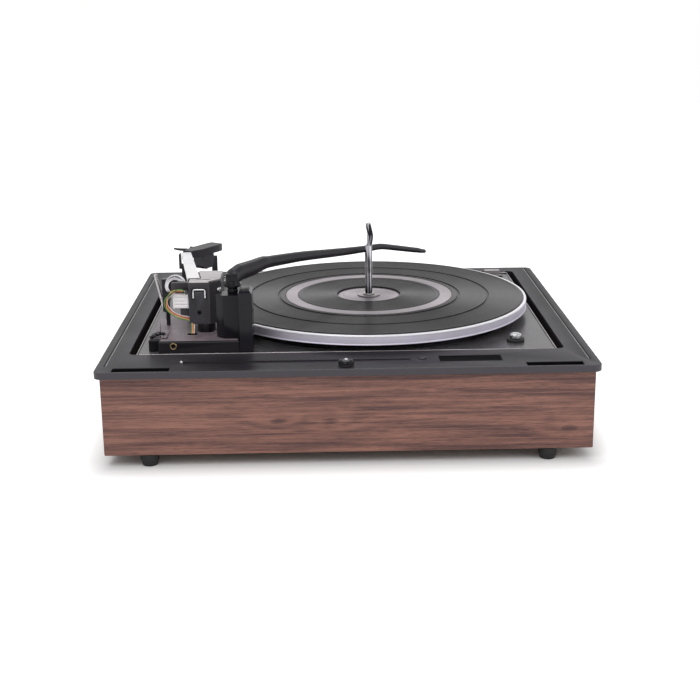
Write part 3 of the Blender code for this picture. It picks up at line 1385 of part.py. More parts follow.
def tag_strip(look):
    """The terminal strip where the leads of the arm end."""
    low = BOARD_TOP + GAP
    half = STRIP_LENGTH / 2
    wall = box(STRIP_X - half, STRIP_X + half, SWITCH_Y, SWITCH_Y + STRIP_THICKNESS, low,
               low + STRIP_HEIGHT)
    foot = box(STRIP_X - half, STRIP_X + half, SWITCH_Y - STRIP_FOOT, SWITCH_Y + STRIP_THICKNESS / 2, low,
               low + STRIP_THICKNESS)
    pins = []
    for number in range(STRIP_PINS):
        x = STRIP_X + half * (2 * (number + 0.5) / STRIP_PINS - 1)
        z = low + STRIP_HEIGHT * 0.75
        pins.append(rod((x, SWITCH_Y - STRIP_FOOT / 3, z), (x, SWITCH_Y + STRIP_FOOT / 2, z),
                        STRIP_PIN_RADIUS, 8))
    solid("tag_strip", wall, look, (STRIP_X, SWITCH_Y, low), add=[foot, *pins])


# Tonearm base, pillar and overarm

def softened(form, level, amount):
    """The form with the edges of one level chamfered."""
    edges = [edge for edge in form.edges if all(abs(vert.co.z - level) < WELD for vert in edge.verts)]
    bmesh.ops.bevel(form, geom=edges, offset=amount, segments=1, affect="EDGES")
    return form


def tonearm_base(look):
    """The moulding under the tonearm: its inner edge follows the platter, its top carries the column."""
    low = PLATE_LEVEL + GAP
    reach = PLATTER_RADIUS + BASE_CLEARANCE
    start = math.acos((BASE_LEFT - PLATTER_X) / reach)
    end = math.asin((BASE_FRONT - PLATTER_Y) / reach)
    outline = [(BASE_LEFT, BASE_REAR), *arc(PLATTER_X, PLATTER_Y, reach, start, end, 2 * CORNER_STEPS)]
    outline += [(BASE_RIGHT, BASE_FRONT), (BASE_RIGHT, BASE_REAR - BASE_STEP_Y),
                (BASE_RIGHT - BASE_STEP_X, BASE_REAR - BASE_STEP_Y), (BASE_RIGHT - BASE_STEP_X, BASE_REAR)]
    body = softened(prism(outline, low, BASE_TOP), BASE_TOP, BASE_CHAMFER)
    column = disc(COLUMN_RADIUS, BASE_TOP - BASE_CHAMFER, YOKE_BOTTOM - GAP, MID_ROUND, ARM_X, ARM_Y)
    ridge_level = BASE_TOP - BASE_RIDGE_RADIUS + BASE_RIDGE_LIFT
    ridge_rear = BASE_REAR - BASE_STEP_Y - BASE_CHAMFER
    ridge = rod((BASE_RIDGE_X, ridge_rear, ridge_level), (BASE_RIDGE_X, ARM_Y, ridge_level),
                BASE_RIDGE_RADIUS,
                SMALL_ROUND)
    solid("tonearm_base", body, look, (ARM_X, ARM_Y, low), add=[column, ridge], cut=[base_holes()])


def base_holes():
    """Bores for the pin, the shaft and the lift post, the lead hole and the eyelet's seat."""
    low = PLATE_LEVEL + GAP - OVERRUN
    high = BASE_TOP + OVERRUN
    x, y = lift_post_place()
    hole = prism(rounded(LEAD_HOLE_X - LEAD_HOLE_HALF_LENGTH, LEAD_HOLE_X + LEAD_HOLE_HALF_LENGTH,
                         LEAD_HOLE_Y - LEAD_HOLE_HALF_WIDTH, LEAD_HOLE_Y + LEAD_HOLE_HALF_WIDTH,
                         LEAD_HOLE_HALF_WIDTH * 0.9), low, high)
    return merged([
        disc(YOKE_PIN_RADIUS + GAP, low, YOKE_BOTTOM + OVERRUN, SMALL_ROUND, ARM_X, ARM_Y),
        disc(SHAFT_RADIUS + GAP, low, high, SMALL_ROUND, OVERARM_X, OVERARM_Y),
        disc(LIFT_POST_RADIUS + GAP, LIFT_POST_BOTTOM - GAP, high, SMALL_ROUND, x, y),
        rod((EYELET_X, BASE_REAR - EYELET_DEPTH, EYELET_Z), (EYELET_X, BASE_REAR + OVERRUN, EYELET_Z),
            EYELET_RADIUS, SMALL_ROUND),
        hole,
    ])


def overarm_pillar(look):
    """The tall glossy moulding that guides the overarm's shaft, with a wing beside the base."""
    x, y = OVERARM_X, OVERARM_Y
    outline = [
        (x - PILLAR_INNER_X - PILLAR_WING / 2, y - PILLAR_HALF_Y),
        (x + PILLAR_CHAMFER_X, y - PILLAR_HALF_Y), (x + PILLAR_OUTER_X, y),
        (x + PILLAR_OUTER_X, y + PILLAR_HALF_Y), (x + PILLAR_CHAMFER_X, y + PILLAR_NECK_Y),
        (x - PILLAR_INNER_X - PILLAR_WING / 2, y + PILLAR_NECK_Y),
    ]
    body = prism(outline, BASE_TOP + GAP, PILLAR_TOP)
    right = x - PILLAR_INNER_X - GAP
    low = PLATE_LEVEL + GAP
    wing = box(right - PILLAR_WING, right, y - PILLAR_HALF_Y, y + PILLAR_WING_REAR, low, PILLAR_WING_TOP)
    bore = disc(SHAFT_RADIUS + GAP, BASE_TOP - OVERRUN, PILLAR_TOP + OVERRUN, SMALL_ROUND, x, y)
    solid(
        "overarm_pillar", body, look, (x, y, low),
        add=[softened(wing, PILLAR_WING_TOP, BASE_CHAMFER * 2)], cut=[bore],
    )


def shaft_top():
    return PILLAR_TOP + GAP + SHAFT_INSERT


def overarm_shaft(look, pivot):
    """The chrome shaft that rises and turns in the pillar."""
    shaft = disc(SHAFT_RADIUS, SHAFT_BOTTOM, shaft_top(), SMALL_ROUND, OVERARM_X, OVERARM_Y)
    carry(solid("overarm_shaft", shaft, look, (OVERARM_X, OVERARM_Y, SHAFT_BOTTOM)), pivot)


def overarm(look, pivot):
    """The tapered bar over the platter, on a neck that caps the shaft."""
    ahead = Vector((-math.sin(OVERARM_BEARING), -math.cos(OVERARM_BEARING), 0))
    aside = Vector((ahead.y, -ahead.x, 0))
    foot = Vector((OVERARM_X, OVERARM_Y, 0))
    distances = [ARM_TUBE_LENGTH * share for share in ARM_TUBE_PLACE_SHARES]
    heights = [ARM_TUBE_END + (ARM_TUBE_CREST - ARM_TUBE_END) * share for share in ARM_TUBE_RISE_SHARES]
    stations = [(-ARM_TUBE_START, heights[0], ARM_TUBE_THICK_SHARES[0] * 0.7)]
    stations += list(zip(distances, heights, ARM_TUBE_THICK_SHARES))
    rings = []
    for distance, height, share in stations:
        size = ARM_TUBE_THICK * share / 2
        centre = foot + ahead * distance + Vector((0, 0, height))
        rings.append(
            [
                centre + aside * size * ARM_TUBE_WIDTH_SHARE * math.cos(turn) + Vector(
                    (0, 0, size * math.sin(turn))
                )
                for turn in (math.tau * i / ARM_TUBE_SIDES for i in range(ARM_TUBE_SIDES))
            ]
        )
    neck = disc(NECK_RADIUS, PILLAR_TOP + GAP, NECK_TOP, SMALL_ROUND, OVERARM_X, OVERARM_Y)
    bore = disc(SHAFT_RADIUS + GAP, PILLAR_TOP - OVERRUN, shaft_top() + GAP, SMALL_ROUND, OVERARM_X,
                OVERARM_Y)
    carry(solid("overarm", lofted(rings), look, (OVERARM_X, OVERARM_Y, PILLAR_TOP), add=[neck],
                cut=[bore]), pivot)


# Tonearm yoke and what it carries

def arm_spot(ahead, aside, height=0.0):
    """A place given along and across the tonearm from its upright axis."""
    return Vector((ARM_X, ARM_Y, height)) + ARM_AHEAD * ahead + ARM_ASIDE * aside


def arm_block(rear, front, left, right, low, high):
    """A box in the tonearm's own directions."""
    corners = [arm_spot(rear, left), arm_spot(front, left), arm_spot(front, right), arm_spot(rear, right)]
    return prism([(spot.x, spot.y) for spot in corners], low, high)


def yoke_notch():
    """The room that the arm's rear end needs in the yoke and its cap."""
    left = TONEARM_OFFSET - TONEARM_REAR_WIDTH / 2 - NOTCH_SIDE_ROOM
    reach = YOKE_REAR - YOKE_FRONT
    return arm_block(TONEARM_REAR - NOTCH_REAR_ROOM, reach + OVERRUN, left, reach, YOKE_NOTCH_FLOOR,
                     YOKE_TOP + CAP * 4)


def yoke_outline(inset=0.0):
    left, right = YOKE_LEFT + inset, YOKE_RIGHT - inset
    front, rear = YOKE_FRONT + inset, YOKE_REAR - inset
    return [
        (left, front), (right, front), (right, rear), (left + YOKE_CHAMFER, rear),
        (left, rear - YOKE_CHAMFER),
    ]


def arm_yoke(look, pivot):
    """The turning body of the tonearm, with the pin that the arm tilts on and the lugs for dial and leads."""
    body = prism(yoke_outline(), YOKE_BOTTOM, YOKE_TOP)
    pin_left = TONEARM_OFFSET - TONEARM_REAR_WIDTH / 2 - NOTCH_SIDE_ROOM - OVERRUN
    pin_right = TONEARM_OFFSET + TONEARM_REAR_WIDTH / 2 - TONEARM_SHEET / 2
    lift_pin = rod(arm_spot(LIFT_AXIS_DISTANCE, pin_left, LIFT_AXIS_HEIGHT),
                   arm_spot(LIFT_AXIS_DISTANCE, pin_right, LIFT_AXIS_HEIGHT), PIN_RADIUS, SMALL_ROUND)
    swing_pin = disc(YOKE_PIN_RADIUS, YOKE_PIN_BOTTOM, YOKE_BOTTOM + OVERRUN, SMALL_ROUND, ARM_X, ARM_Y)
    crank = box(ARM_X - CRANK_WIDTH / 2, ARM_X + CRANK_WIDTH / 2, ARM_Y - CRANK_LENGTH,
                ARM_Y + CRANK_WIDTH / 2,
                YOKE_PIN_BOTTOM, YOKE_PIN_BOTTOM + CRANK)
    dial_lug = box(YOKE_RIGHT - OVERRUN, LUG_RIGHT, LUG_FRONT, LUG_REAR, LUG_BOTTOM, YOKE_TOP)
    lead_block = box(YOKE_RIGHT - OVERRUN, BLOCK_RIGHT, LUG_FRONT, LUG_REAR, BLOCK_BOTTOM, BLOCK_TOP)
    dial_bore = rod(
        (DIAL_X, LUG_FRONT - OVERRUN, DIAL_Z), (DIAL_X, LUG_FRONT + DIAL_PIN_LENGTH + GAP, DIAL_Z),
        DIAL_PIN + GAP, SMALL_ROUND,
    )
    piece = solid("arm_yoke", body, look, (ARM_X, ARM_Y, YOKE_BOTTOM), add=[dial_lug, lead_block],
                  cut=[yoke_notch(), dial_bore, yoke_face_cuts()], pins=[lift_pin, swing_pin, crank])
    carry(piece, pivot)


def yoke_face_cuts():
    """The arched inset round a square tab and the small round hole in the rear face."""
    middle = (YOKE_LEFT + YOKE_CHAMFER + YOKE_RIGHT) / 2
    half = YOKE_INSET_WIDTH / 2
    tab = YOKE_TAB_WIDTH / 2
    rear = YOKE_REAR + OVERRUN
    front = YOKE_REAR - YOKE_INSET_DEPTH
    bottom = YOKE_INSET_TOP - YOKE_INSET_HEIGHT
    tab_top = YOKE_INSET_TOP - YOKE_TAB_DROP
    arch = box(middle - half, middle + half, front, rear, tab_top, YOKE_INSET_TOP)
    sides = [
        box(*sorted((middle + way * tab, middle + way * half)), front, rear, bottom, tab_top)
        for way in (-1, 1)
    ]
    whole = union(union(arch, sides[0]), sides[1])
    hole = rod((YOKE_HOLE_X, YOKE_REAR - YOKE_HOLE_DEPTH, YOKE_HOLE_Z), (YOKE_HOLE_X, rear, YOKE_HOLE_Z),
               YOKE_HOLE_RADIUS, SMALL_ROUND)
    return merged([whole, hole])


def pivot_cap(look, pivot):
    """The pale plate on top of the yoke, cut back for the arm and slotted."""
    low = YOKE_TOP + GAP
    high = low + CAP
    slot = box(YOKE_LEFT + YOKE_CHAMFER, YOKE_LEFT + YOKE_CHAMFER + CAP_SLOT_LENGTH,
               ARM_Y - CAP_SLOT_WIDTH / 2,
               ARM_Y + CAP_SLOT_WIDTH / 2, low - OVERRUN, high + OVERRUN)
    carry(solid("pivot_cap", prism(yoke_outline(YOKE_EDGE), low, high), look, (ARM_X, ARM_Y, low),
                cut=[yoke_notch(), slot]), pivot)


def force_dial(look, pivot):
    """The dial that sets the tracking force: a knurled disc on a short pin."""
    front = LUG_FRONT - GAP - DIAL_THICKNESS
    body = rod((DIAL_X, front, DIAL_Z), (DIAL_X, LUG_FRONT - GAP, DIAL_Z), DIAL_RADIUS, MID_ROUND)
    pin = rod((DIAL_X, LUG_FRONT - GAP * 2, DIAL_Z), (DIAL_X, LUG_FRONT + DIAL_PIN_LENGTH, DIAL_Z),
              DIAL_PIN,
              SMALL_ROUND)
    face = rod((DIAL_X, front - OVERRUN, DIAL_Z), (DIAL_X, front + DIAL_FACE_DEPTH, DIAL_Z),
               DIAL_FACE_RADIUS,
               MID_ROUND)
    carry(solid("force_dial", body, look, (DIAL_X, LUG_FRONT, DIAL_Z), add=[pin], cut=[face]), pivot)


def lead_connector(look, pivot):
    """The ribbed four-way block that the pickup's leads plug into."""
    left = YOKE_RIGHT + GAP
    body = box(left, CONNECTOR_RIGHT, CONNECTOR_FRONT, CONNECTOR_REAR, CONNECTOR_BOTTOM, CONNECTOR_TOP)
    ribs = []
    pitch = (CONNECTOR_TOP - CONNECTOR_BOTTOM) / CONNECTOR_RIBS
    for number in range(CONNECTOR_RIBS):
        middle = CONNECTOR_BOTTOM + pitch * (number + 0.5)
        ribs.append(box(left + CONNECTOR_RIB, CONNECTOR_RIGHT - CONNECTOR_RIB * 2,
                        CONNECTOR_REAR - OVERRUN / 2,
                        CONNECTOR_REAR + CONNECTOR_RIB, middle - pitch * 0.3, middle + pitch * 0.3))
    carry(solid("lead_connector", body, look, (left, CONNECTOR_REAR, CONNECTOR_BOTTOM), add=ribs), pivot)


def smooth_route(points, steps):
    """A smooth curve through the points: a Catmull-Rom spline."""
    padded = [2 * points[0] - points[1], *points, 2 * points[-1] - points[-2]]
    route = []
    for before, start, end, after in zip(padded, padded[1:], padded[2:], padded[3:]):
        for i in range(steps):
            t = i / steps
            route.append(0.5 * (2 * start + (end - before) * t
                                + (2 * before - 5 * start + 4 * end - after) * t * t
                                + (3 * start - before - 3 * end + after) * t * t * t))
    route.append(points[-1])
    return route


def tube(points, radius, sides):
    """A round tube along a route, its rings carried from point to point without twist."""
    rings = []
    along = (points[1] - points[0]).normalized()
    side = along.orthogonal().normalized()
    for i, point in enumerate(points):
        ahead = points[min(i + 1, len(points) - 1)] - points[max(i - 1, 0)]
        along = ahead.normalized()
        side = (side - along * side.dot(along)).normalized()
        other = along.cross(side)
        rings.append([
            point + radius * (math.cos(turn) * side + math.sin(turn) * other)
            for turn in (math.tau * k / sides for k in range(sides))
        ])
    return lofted(rings)


def lead_harness(look, pivot):
    """Four leads from a small plug beside the yoke, looped round the block and down to the base."""
    leads = []
    for number in range(LEAD_COUNT):
        rank = number - (LEAD_COUNT - 1) / 2
        points = [
            Vector(place) + Vector(spread) * rank * LEAD_PITCH
            for place, spread in LEAD_ROUTE
        ]
        leads.append(tube(smooth_route(points, LEAD_STEPS), LEAD_RADIUS, LEAD_SIDES))
    start = Vector(LEAD_ROUTE[0][0])
    half = LEAD_PITCH * LEAD_COUNT / 2
    left = YOKE_RIGHT + GAP
    plug = box(left, start.x + LEAD_RADIUS, start.y - half, start.y + half, start.z - LEAD_PLUG / 3,
               start.z + LEAD_PLUG / 3)
    carry(solid("lead_harness", plug, look, (left, start.y, start.z), add=leads), pivot)


# Tonearm, headshell and cartridge

def arm_top(distance):
    """The height of the arm's top face along its length."""
    share = (distance - TONEARM_REAR) / (TONEARM_FRONT - TONEARM_REAR)
    return TONEARM_REAR_TOP + (TONEARM_FRONT_TOP - TONEARM_REAR_TOP) * share


def channel_section(distance, width):
    """The inverted channel of the arm at one distance."""
    top = arm_top(distance)
    low = top - TONEARM_SIDE
    half = width / 2
    thin = half - TONEARM_SHEET
    section = [
        (-half, low), (-half, top), (half, top), (half, low), (thin, low), (thin, top - TONEARM_SHEET),
        (-thin, top - TONEARM_SHEET), (-thin, low),
    ]
    return [arm_spot(distance, TONEARM_OFFSET + aside, height) for aside, height in section]


def tonearm(look, pivot):
    """The flat tapering channel of the arm, with two ears round the tilting pin."""
    body = lofted(
        [
            channel_section(TONEARM_REAR, TONEARM_REAR_WIDTH),
            channel_section(TONEARM_FRONT, TONEARM_FRONT_WIDTH),
        ]
    )
    ears = []
    for way in (-1, 1):
        outer = TONEARM_OFFSET + way * TONEARM_REAR_WIDTH / 2
        inner = outer - way * TONEARM_SHEET
        ears.append(arm_block(TONEARM_REAR, TONEARM_REAR + EAR_LENGTH, *sorted((outer, inner)),
                              LIFT_AXIS_HEIGHT - EAR_DROP, TONEARM_REAR_TOP - TONEARM_SHEET))
    hole = rod(arm_spot(LIFT_AXIS_DISTANCE, 0, LIFT_AXIS_HEIGHT),
               arm_spot(LIFT_AXIS_DISTANCE, TONEARM_OFFSET * 2 + OVERRUN,
                        LIFT_AXIS_HEIGHT), PIN_RADIUS + GAP, SMALL_ROUND)
    carry(
        solid(
            "tonearm", body, look, tuple(arm_spot(LIFT_AXIS_DISTANCE, TONEARM_OFFSET, LIFT_AXIS_HEIGHT)),
            add=ears, cut=[hole],
        ),
        pivot,
    )


def shell_spot(along, across, height=0.0):
    """A place given along and across the headshell from its neck."""
    ahead = Vector((-math.sin(SHELL_BEARING), -math.cos(SHELL_BEARING), 0))
    aside = Vector((-ahead.y, ahead.x, 0))
    return Vector((SHELL_X, SHELL_Y, height)) + ahead * along + aside * across


def shell_outline(inset):
    """Both sides of the headshell seen from above, drawn in by the inset."""
    length = SHELL_LENGTH - 2 * inset
    half = SHELL_WIDTH / 2 - inset
    outline = [(inset + along * length, -across * half) for along, across in SHELL_OUTLINE_SHARES]
    outline += [(inset + along * length, across * half) for along, across in reversed(SHELL_OUTLINE_SHARES)]
    spots = [shell_spot(along, across) for along, across in outline]
    return [(spot.x, spot.y) for spot in spots]


def headshell(look, pivot):
    """The headshell: a thin moulded cover open below, a plug for the arm and a finger lift."""
    low = SHELL_TOP - SHELL_HEIGHT
    body = softened(prism(shell_outline(0), low, SHELL_TOP), SHELL_TOP, SHELL_SHEET / 2)
    hollow = prism(shell_outline(SHELL_SHEET), low - OVERRUN, SHELL_TOP - SHELL_SHEET)
    neck_top = arm_top(TONEARM_FRONT) - TONEARM_SHEET / 2
    half = TONEARM_FRONT_WIDTH / 2 - TONEARM_SHEET
    plug = arm_block(TONEARM_FRONT + GAP, TONEARM_FRONT + SHELL_NECK, TONEARM_OFFSET - half,
                     TONEARM_OFFSET + half,
                     neck_top - TONEARM_SIDE * 0.8, neck_top)
    finger_corners = [
        shell_spot(FINGER_PLACE, SHELL_WIDTH / 2 - SHELL_SHEET / 2),
        shell_spot(FINGER_PLACE + FINGER_WIDTH, SHELL_WIDTH / 2 - SHELL_SHEET / 2),
        shell_spot(FINGER_PLACE + FINGER_WIDTH * 0.8, SHELL_WIDTH / 2 + FINGER_LENGTH),
        shell_spot(FINGER_PLACE + FINGER_WIDTH * 0.2, SHELL_WIDTH / 2 + FINGER_LENGTH),
    ]
    finger = prism([(spot.x, spot.y) for spot in finger_corners], SHELL_TOP - SHELL_SHEET * 2.5,
                   SHELL_TOP - SHELL_SHEET * 1.5)
    piece = solid("headshell", difference(body, hollow), look, tuple(shell_spot(0, 0, SHELL_TOP)),
                  add=[plug, finger])
    carry(piece, pivot)


def cartridge(look, pivot):
    """The pickup: a stepped body on the headshell's underside with its stylus below."""
    top = SHELL_TOP - SHELL_SHEET - GAP
    low = top - CARTRIDGE_HEIGHT
    start = CARTRIDGE_PLACE
    end = start + CARTRIDGE_LENGTH
    nose = STYLUS_BLOCK
    side = [(start, top), (end, top), (end, low + nose), (end - nose / 2, low), (start + nose / 2, low),
            (start, low + nose / 2)]
    rings = [
        [shell_spot(along, across, height) for along, height in side]
        for across in (-CARTRIDGE_WIDTH / 2, CARTRIDGE_WIDTH / 2)
    ]
    stylus_place = end - nose / 2 - STYLUS_RADIUS * 1.5
    stylus = rod(
        shell_spot(stylus_place, 0, low + STYLUS_DROP / 2),
        shell_spot(stylus_place, 0, low - STYLUS_DROP), STYLUS_RADIUS, 8, STYLUS_RADIUS / 4,
    )
    carry(solid("cartridge", lofted(rings), look, tuple(shell_spot(start, 0, top)), add=[stylus]), pivot)


def arm_rest(look):
    """The post that the arm lies in: a cradle open toward the platter, with an outer prong."""
    distance = (ARM_Y + TONEARM_OFFSET * math.sin(TONEARM_BEARING) - REST_Y) / math.cos(TONEARM_BEARING)
    middle = arm_spot(distance, TONEARM_OFFSET).x
    half = TONEARM_FRONT_WIDTH / 2 / math.cos(TONEARM_BEARING) + REST_LENGTH / 2 * math.tan(TONEARM_BEARING)
    prong_left = middle + half + GAP * 2
    right = prong_left + REST_PRONG
    floor = arm_top(distance) - TONEARM_SIDE - REST_CRADLE_DROP
    front, rear = REST_Y - REST_LENGTH / 2, REST_Y + REST_LENGTH / 2
    low = PLATE_LEVEL + GAP
    left = right - REST_WIDTH
    post = box(left + REST_WIDTH / 4, right - REST_WIDTH / 5, front, rear, low, floor - REST_PRONG / 2)
    cradle = box(left, right, front, rear, floor - REST_PRONG * 2, floor)
    prong = box(prong_left, right, front, rear, floor - REST_PRONG, REST_PRONG_TOP)
    foot = box(left, right + REST_FOOT_SPREAD, front - REST_FOOT_SPREAD, rear + REST_FOOT_SPREAD, low,
               low + REST_FOOT)
    solid("arm_rest", post, look, (right, REST_Y, low), add=[union(cradle, prong), foot])


# Cueing gear

def cue_bracket(look):
    """The tower of the cue lever: a block on a stem, with a lug bored for the lever's pin."""
    left = CUE_BRACKET_LEFT
    rear = CUE_BRACKET_REAR
    front = rear - CUE_BRACKET_THICKNESS
    block = box(left, CUE_BRACKET_RIGHT, front, rear, CUE_BRACKET_BOTTOM, CUE_BRACKET_TOP)
    stem = box(left, left + CUE_STEM, front + OVERRUN / 2, rear, BASE_TOP + GAP,
               CUE_BRACKET_BOTTOM + OVERRUN)
    lug_front = cue_axis_y() - CUE_HUB_RADIUS
    lug = box(left, left + CUE_LUG, lug_front, front + OVERRUN, CUE_PIVOT_Z - CUE_HUB_RADIUS,
              CUE_PIVOT_Z + CUE_HUB_RADIUS)
    bore = rod(
        (left - OVERRUN, cue_axis_y(), CUE_PIVOT_Z),
        (left + CUE_LUG + OVERRUN, cue_axis_y(), CUE_PIVOT_Z), CUE_ROD_RADIUS + GAP, SMALL_ROUND,
    )
    solid("cue_bracket", block, look, (left, rear, BASE_TOP), add=[stem, lug], cut=[bore])


def cue_axis_y():
    return CUE_BRACKET_REAR - CUE_BRACKET_THICKNESS - CUE_ROD_RADIUS * 2


def cue_lever(look, pivot):
    """The leaning chrome rod on its cross pin."""
    y = cue_axis_y()
    centre = Vector((CUE_BRACKET_RIGHT + CUE_ROD_RADIUS + GAP, y, CUE_PIVOT_Z))
    lean = Vector((CUE_ROD_LEAN, 0, 1))
    pin = rod((CUE_BRACKET_LEFT + GAP, y, CUE_PIVOT_Z), centre, CUE_ROD_RADIUS, SMALL_ROUND)
    body = rod(centre - lean * CUE_ROD_TAIL, centre + lean * CUE_ROD_RISE, CUE_ROD_RADIUS, SMALL_ROUND)
    carry(solid("cue_lever", body, look, tuple(centre), add=[pin]), pivot)


def lift_post_place():
    turn = LIFT_BAR_START + math.radians(2)
    return ARM_X - LIFT_BAR_RADIUS * math.sin(turn), ARM_Y - LIFT_BAR_RADIUS * math.cos(turn)


def cue_lift(look, pivot):
    """The curved bar under the arm, raised on a post by the cue lever."""
    start = -math.pi / 2 - LIFT_BAR_START
    end = -math.pi / 2 - LIFT_BAR_END
    half = LIFT_BAR_WIDTH / 2
    outline = arc(ARM_X, ARM_Y, LIFT_BAR_RADIUS + half, start, end, SMALL_ROUND)
    outline += arc(ARM_X, ARM_Y, LIFT_BAR_RADIUS - half, end, start, SMALL_ROUND)
    bar = prism(outline, LIFT_BAR_TOP - LIFT_BAR_THICKNESS, LIFT_BAR_TOP)
    x, y = lift_post_place()
    post = disc(LIFT_POST_RADIUS, LIFT_POST_BOTTOM, LIFT_BAR_TOP - LIFT_BAR_THICKNESS / 2, SMALL_ROUND, x,
                y)
    carry(solid("cue_lift", post, look, (x, y, LIFT_POST_BOTTOM), add=[bar]), pivot)


# Levers at the front

def lever_places():
    return ((START_X, LEVER_Y, START_WIDTH), (SIZE_X, LEVER_Y, SIZE_WIDTH), (SPEED_X, SPEED_Y, SPEED_WIDTH))


def lever_pivot(x, y):
    return x, y + LEVER_ARM_LENGTH


def lever(name, place, top, look, pivot, extra=()):
    """A tab through the plate on a flat arm that turns on a stud below it."""
    x, y, width = place
    high = PLATE_UNDER - GAP
    low = high - LEVER
    tab = box(x - width / 2, x + width / 2, y - LEVER_THICKNESS / 2, y + LEVER_THICKNESS / 2,
              low + LEVER / 3, top)
    half = LEVER_ARM_WIDTH / 2
    arm = box(x - half, x + half, y - LEVER_THICKNESS, y + LEVER_ARM_LENGTH, low, high)
    eye = disc(LEVER_HUB, low, high, SMALL_ROUND, *lever_pivot(x, y))
    hole = disc(LEVER_STUD + GAP, low - OVERRUN, high + OVERRUN, SMALL_ROUND, *lever_pivot(x, y))
    carry(solid(name, arm, look, (*lever_pivot(x, y), low), add=[tab, eye, *extra], cut=[hole]), pivot)


def levers(look):
    """Function, record-size and speed levers, each on its own stud."""
    names = ("start_lever", "size_lever", "speed_lever")
    tops = (START_TOP, SIZE_TOP, SPEED_TOP - SPEED_CAP_HEIGHT / 2)
    half = SPEED_CAP_LENGTH / 2
    cap = box(SPEED_X - half, SPEED_X + half, SPEED_Y - LEVER_THICKNESS, SPEED_Y + LEVER_THICKNESS,
              SPEED_TOP - SPEED_CAP_HEIGHT, SPEED_TOP)
    for name, place, top in zip(names, lever_places(), tops):
        x, y, width = place
        pivot = joint(f"{name}.axis", (*lever_pivot(x, y), PLATE_UNDER))
        lever(name, place, top, look, pivot, [cap] if name == "speed_lever" else ())


def clear_scene():
    for thing in list(bpy.data.objects):
        bpy.data.objects.remove(thing)


def build_case(looks):
    plinth_walls(looks["wood"])
    bottom_board(looks["hardboard"])
    cord_grommet(looks["rubber"])
    feet(looks["rubber"])
    deck_surround(looks["black plastic"])
    mounting_board(looks["hardboard"])
    suspension_springs(looks["steel"])
    transit_screws(looks["chrome"], looks["rubber"])
    unit_plate(looks["black paint"])


def build_drive(looks):
    platter_axis = joint("platter.axis", (PLATTER_X, PLATTER_Y, PLATTER_WEB_TOP))
    bearing_post(looks["steel"])
    thrust_race(looks["steel"])
    platter_clip(looks["steel"])
    record_spindle(looks["chrome"])
    spindle_latch(looks["steel"], joint("spindle_latch.axis", (PLATTER_X, PLATTER_Y, LATCH_BOTTOM)))
    platter(looks["aluminium"], platter_axis)
    platter_mat(looks["rubber"], platter_axis)
    mat_ring(looks["aluminium"], platter_axis)
    motor_axis = joint("motor.axis", (MOTOR_X, MOTOR_Y, STATOR_BOTTOM))
    motor_stator(looks["steel"])
    motor_coil(looks["copper"])
    motor_brackets(looks["steel"])
    motor_rotor(looks["steel"], motor_axis)
    motor_pulley(looks["brass"], motor_axis)
    arm_axis = joint("idler_arm.axis", (IDLER_ARM_PIVOT_X, IDLER_ARM_PIVOT_Y, IDLER_ARM_LEVEL))
    idler_arm(looks["steel"], arm_axis)
    idler_wheel(looks["rubber"], joint("idler.axis", (*idler_place(), IDLER_BOTTOM), arm_axis))
    cycle_gear(looks["nylon"], joint("cycle_gear.axis", (GEAR_X, GEAR_Y, GEAR_BOTTOM)))
    cycle_lever(looks["steel"])
    power_switch(looks["black plastic"])
    tag_strip(looks["nylon"])


def build_arms(looks):
    tonearm_base(looks["black plastic"])
    overarm_pillar(looks["gloss black"])
    rise_axis = joint("overarm_rise.axis", (OVERARM_X, OVERARM_Y, PILLAR_TOP))
    overarm_shaft(looks["chrome"], rise_axis)
    overarm(looks["black paint"], joint("overarm.axis", (OVERARM_X, OVERARM_Y, PILLAR_TOP), rise_axis))
    yoke_axis = joint("yoke.axis", (ARM_X, ARM_Y, YOKE_BOTTOM))
    arm_yoke(looks["black plastic"], yoke_axis)
    pivot_cap(looks["aluminium"], yoke_axis)
    lead_connector(looks["nylon"], yoke_axis)
    lead_harness(looks["black plastic"], yoke_axis)
    force_dial(looks["black plastic"], joint("force_dial.axis", (DIAL_X, LUG_FRONT, DIAL_Z), yoke_axis))
    lift_place = tuple(arm_spot(LIFT_AXIS_DISTANCE, TONEARM_OFFSET, LIFT_AXIS_HEIGHT))
    lift_axis = joint("tonearm_tilt.axis", lift_place, yoke_axis)
    tonearm(looks["aluminium"], lift_axis)
    headshell(looks["black plastic"], lift_axis)
    cartridge(looks["black plastic"], lift_axis)
    arm_rest(looks["black plastic"])
    cue_bracket(looks["black plastic"])
    cue_place = (CUE_BRACKET_RIGHT + CUE_ROD_RADIUS + GAP, cue_axis_y(), CUE_PIVOT_Z)
    cue_lever(looks["chrome"], joint("cue_lever.axis", cue_place))
    cue_lift(looks["steel"], joint("cue_lift.axis", (*lift_post_place(), LIFT_POST_BOTTOM)))
    levers(looks["black plastic"])


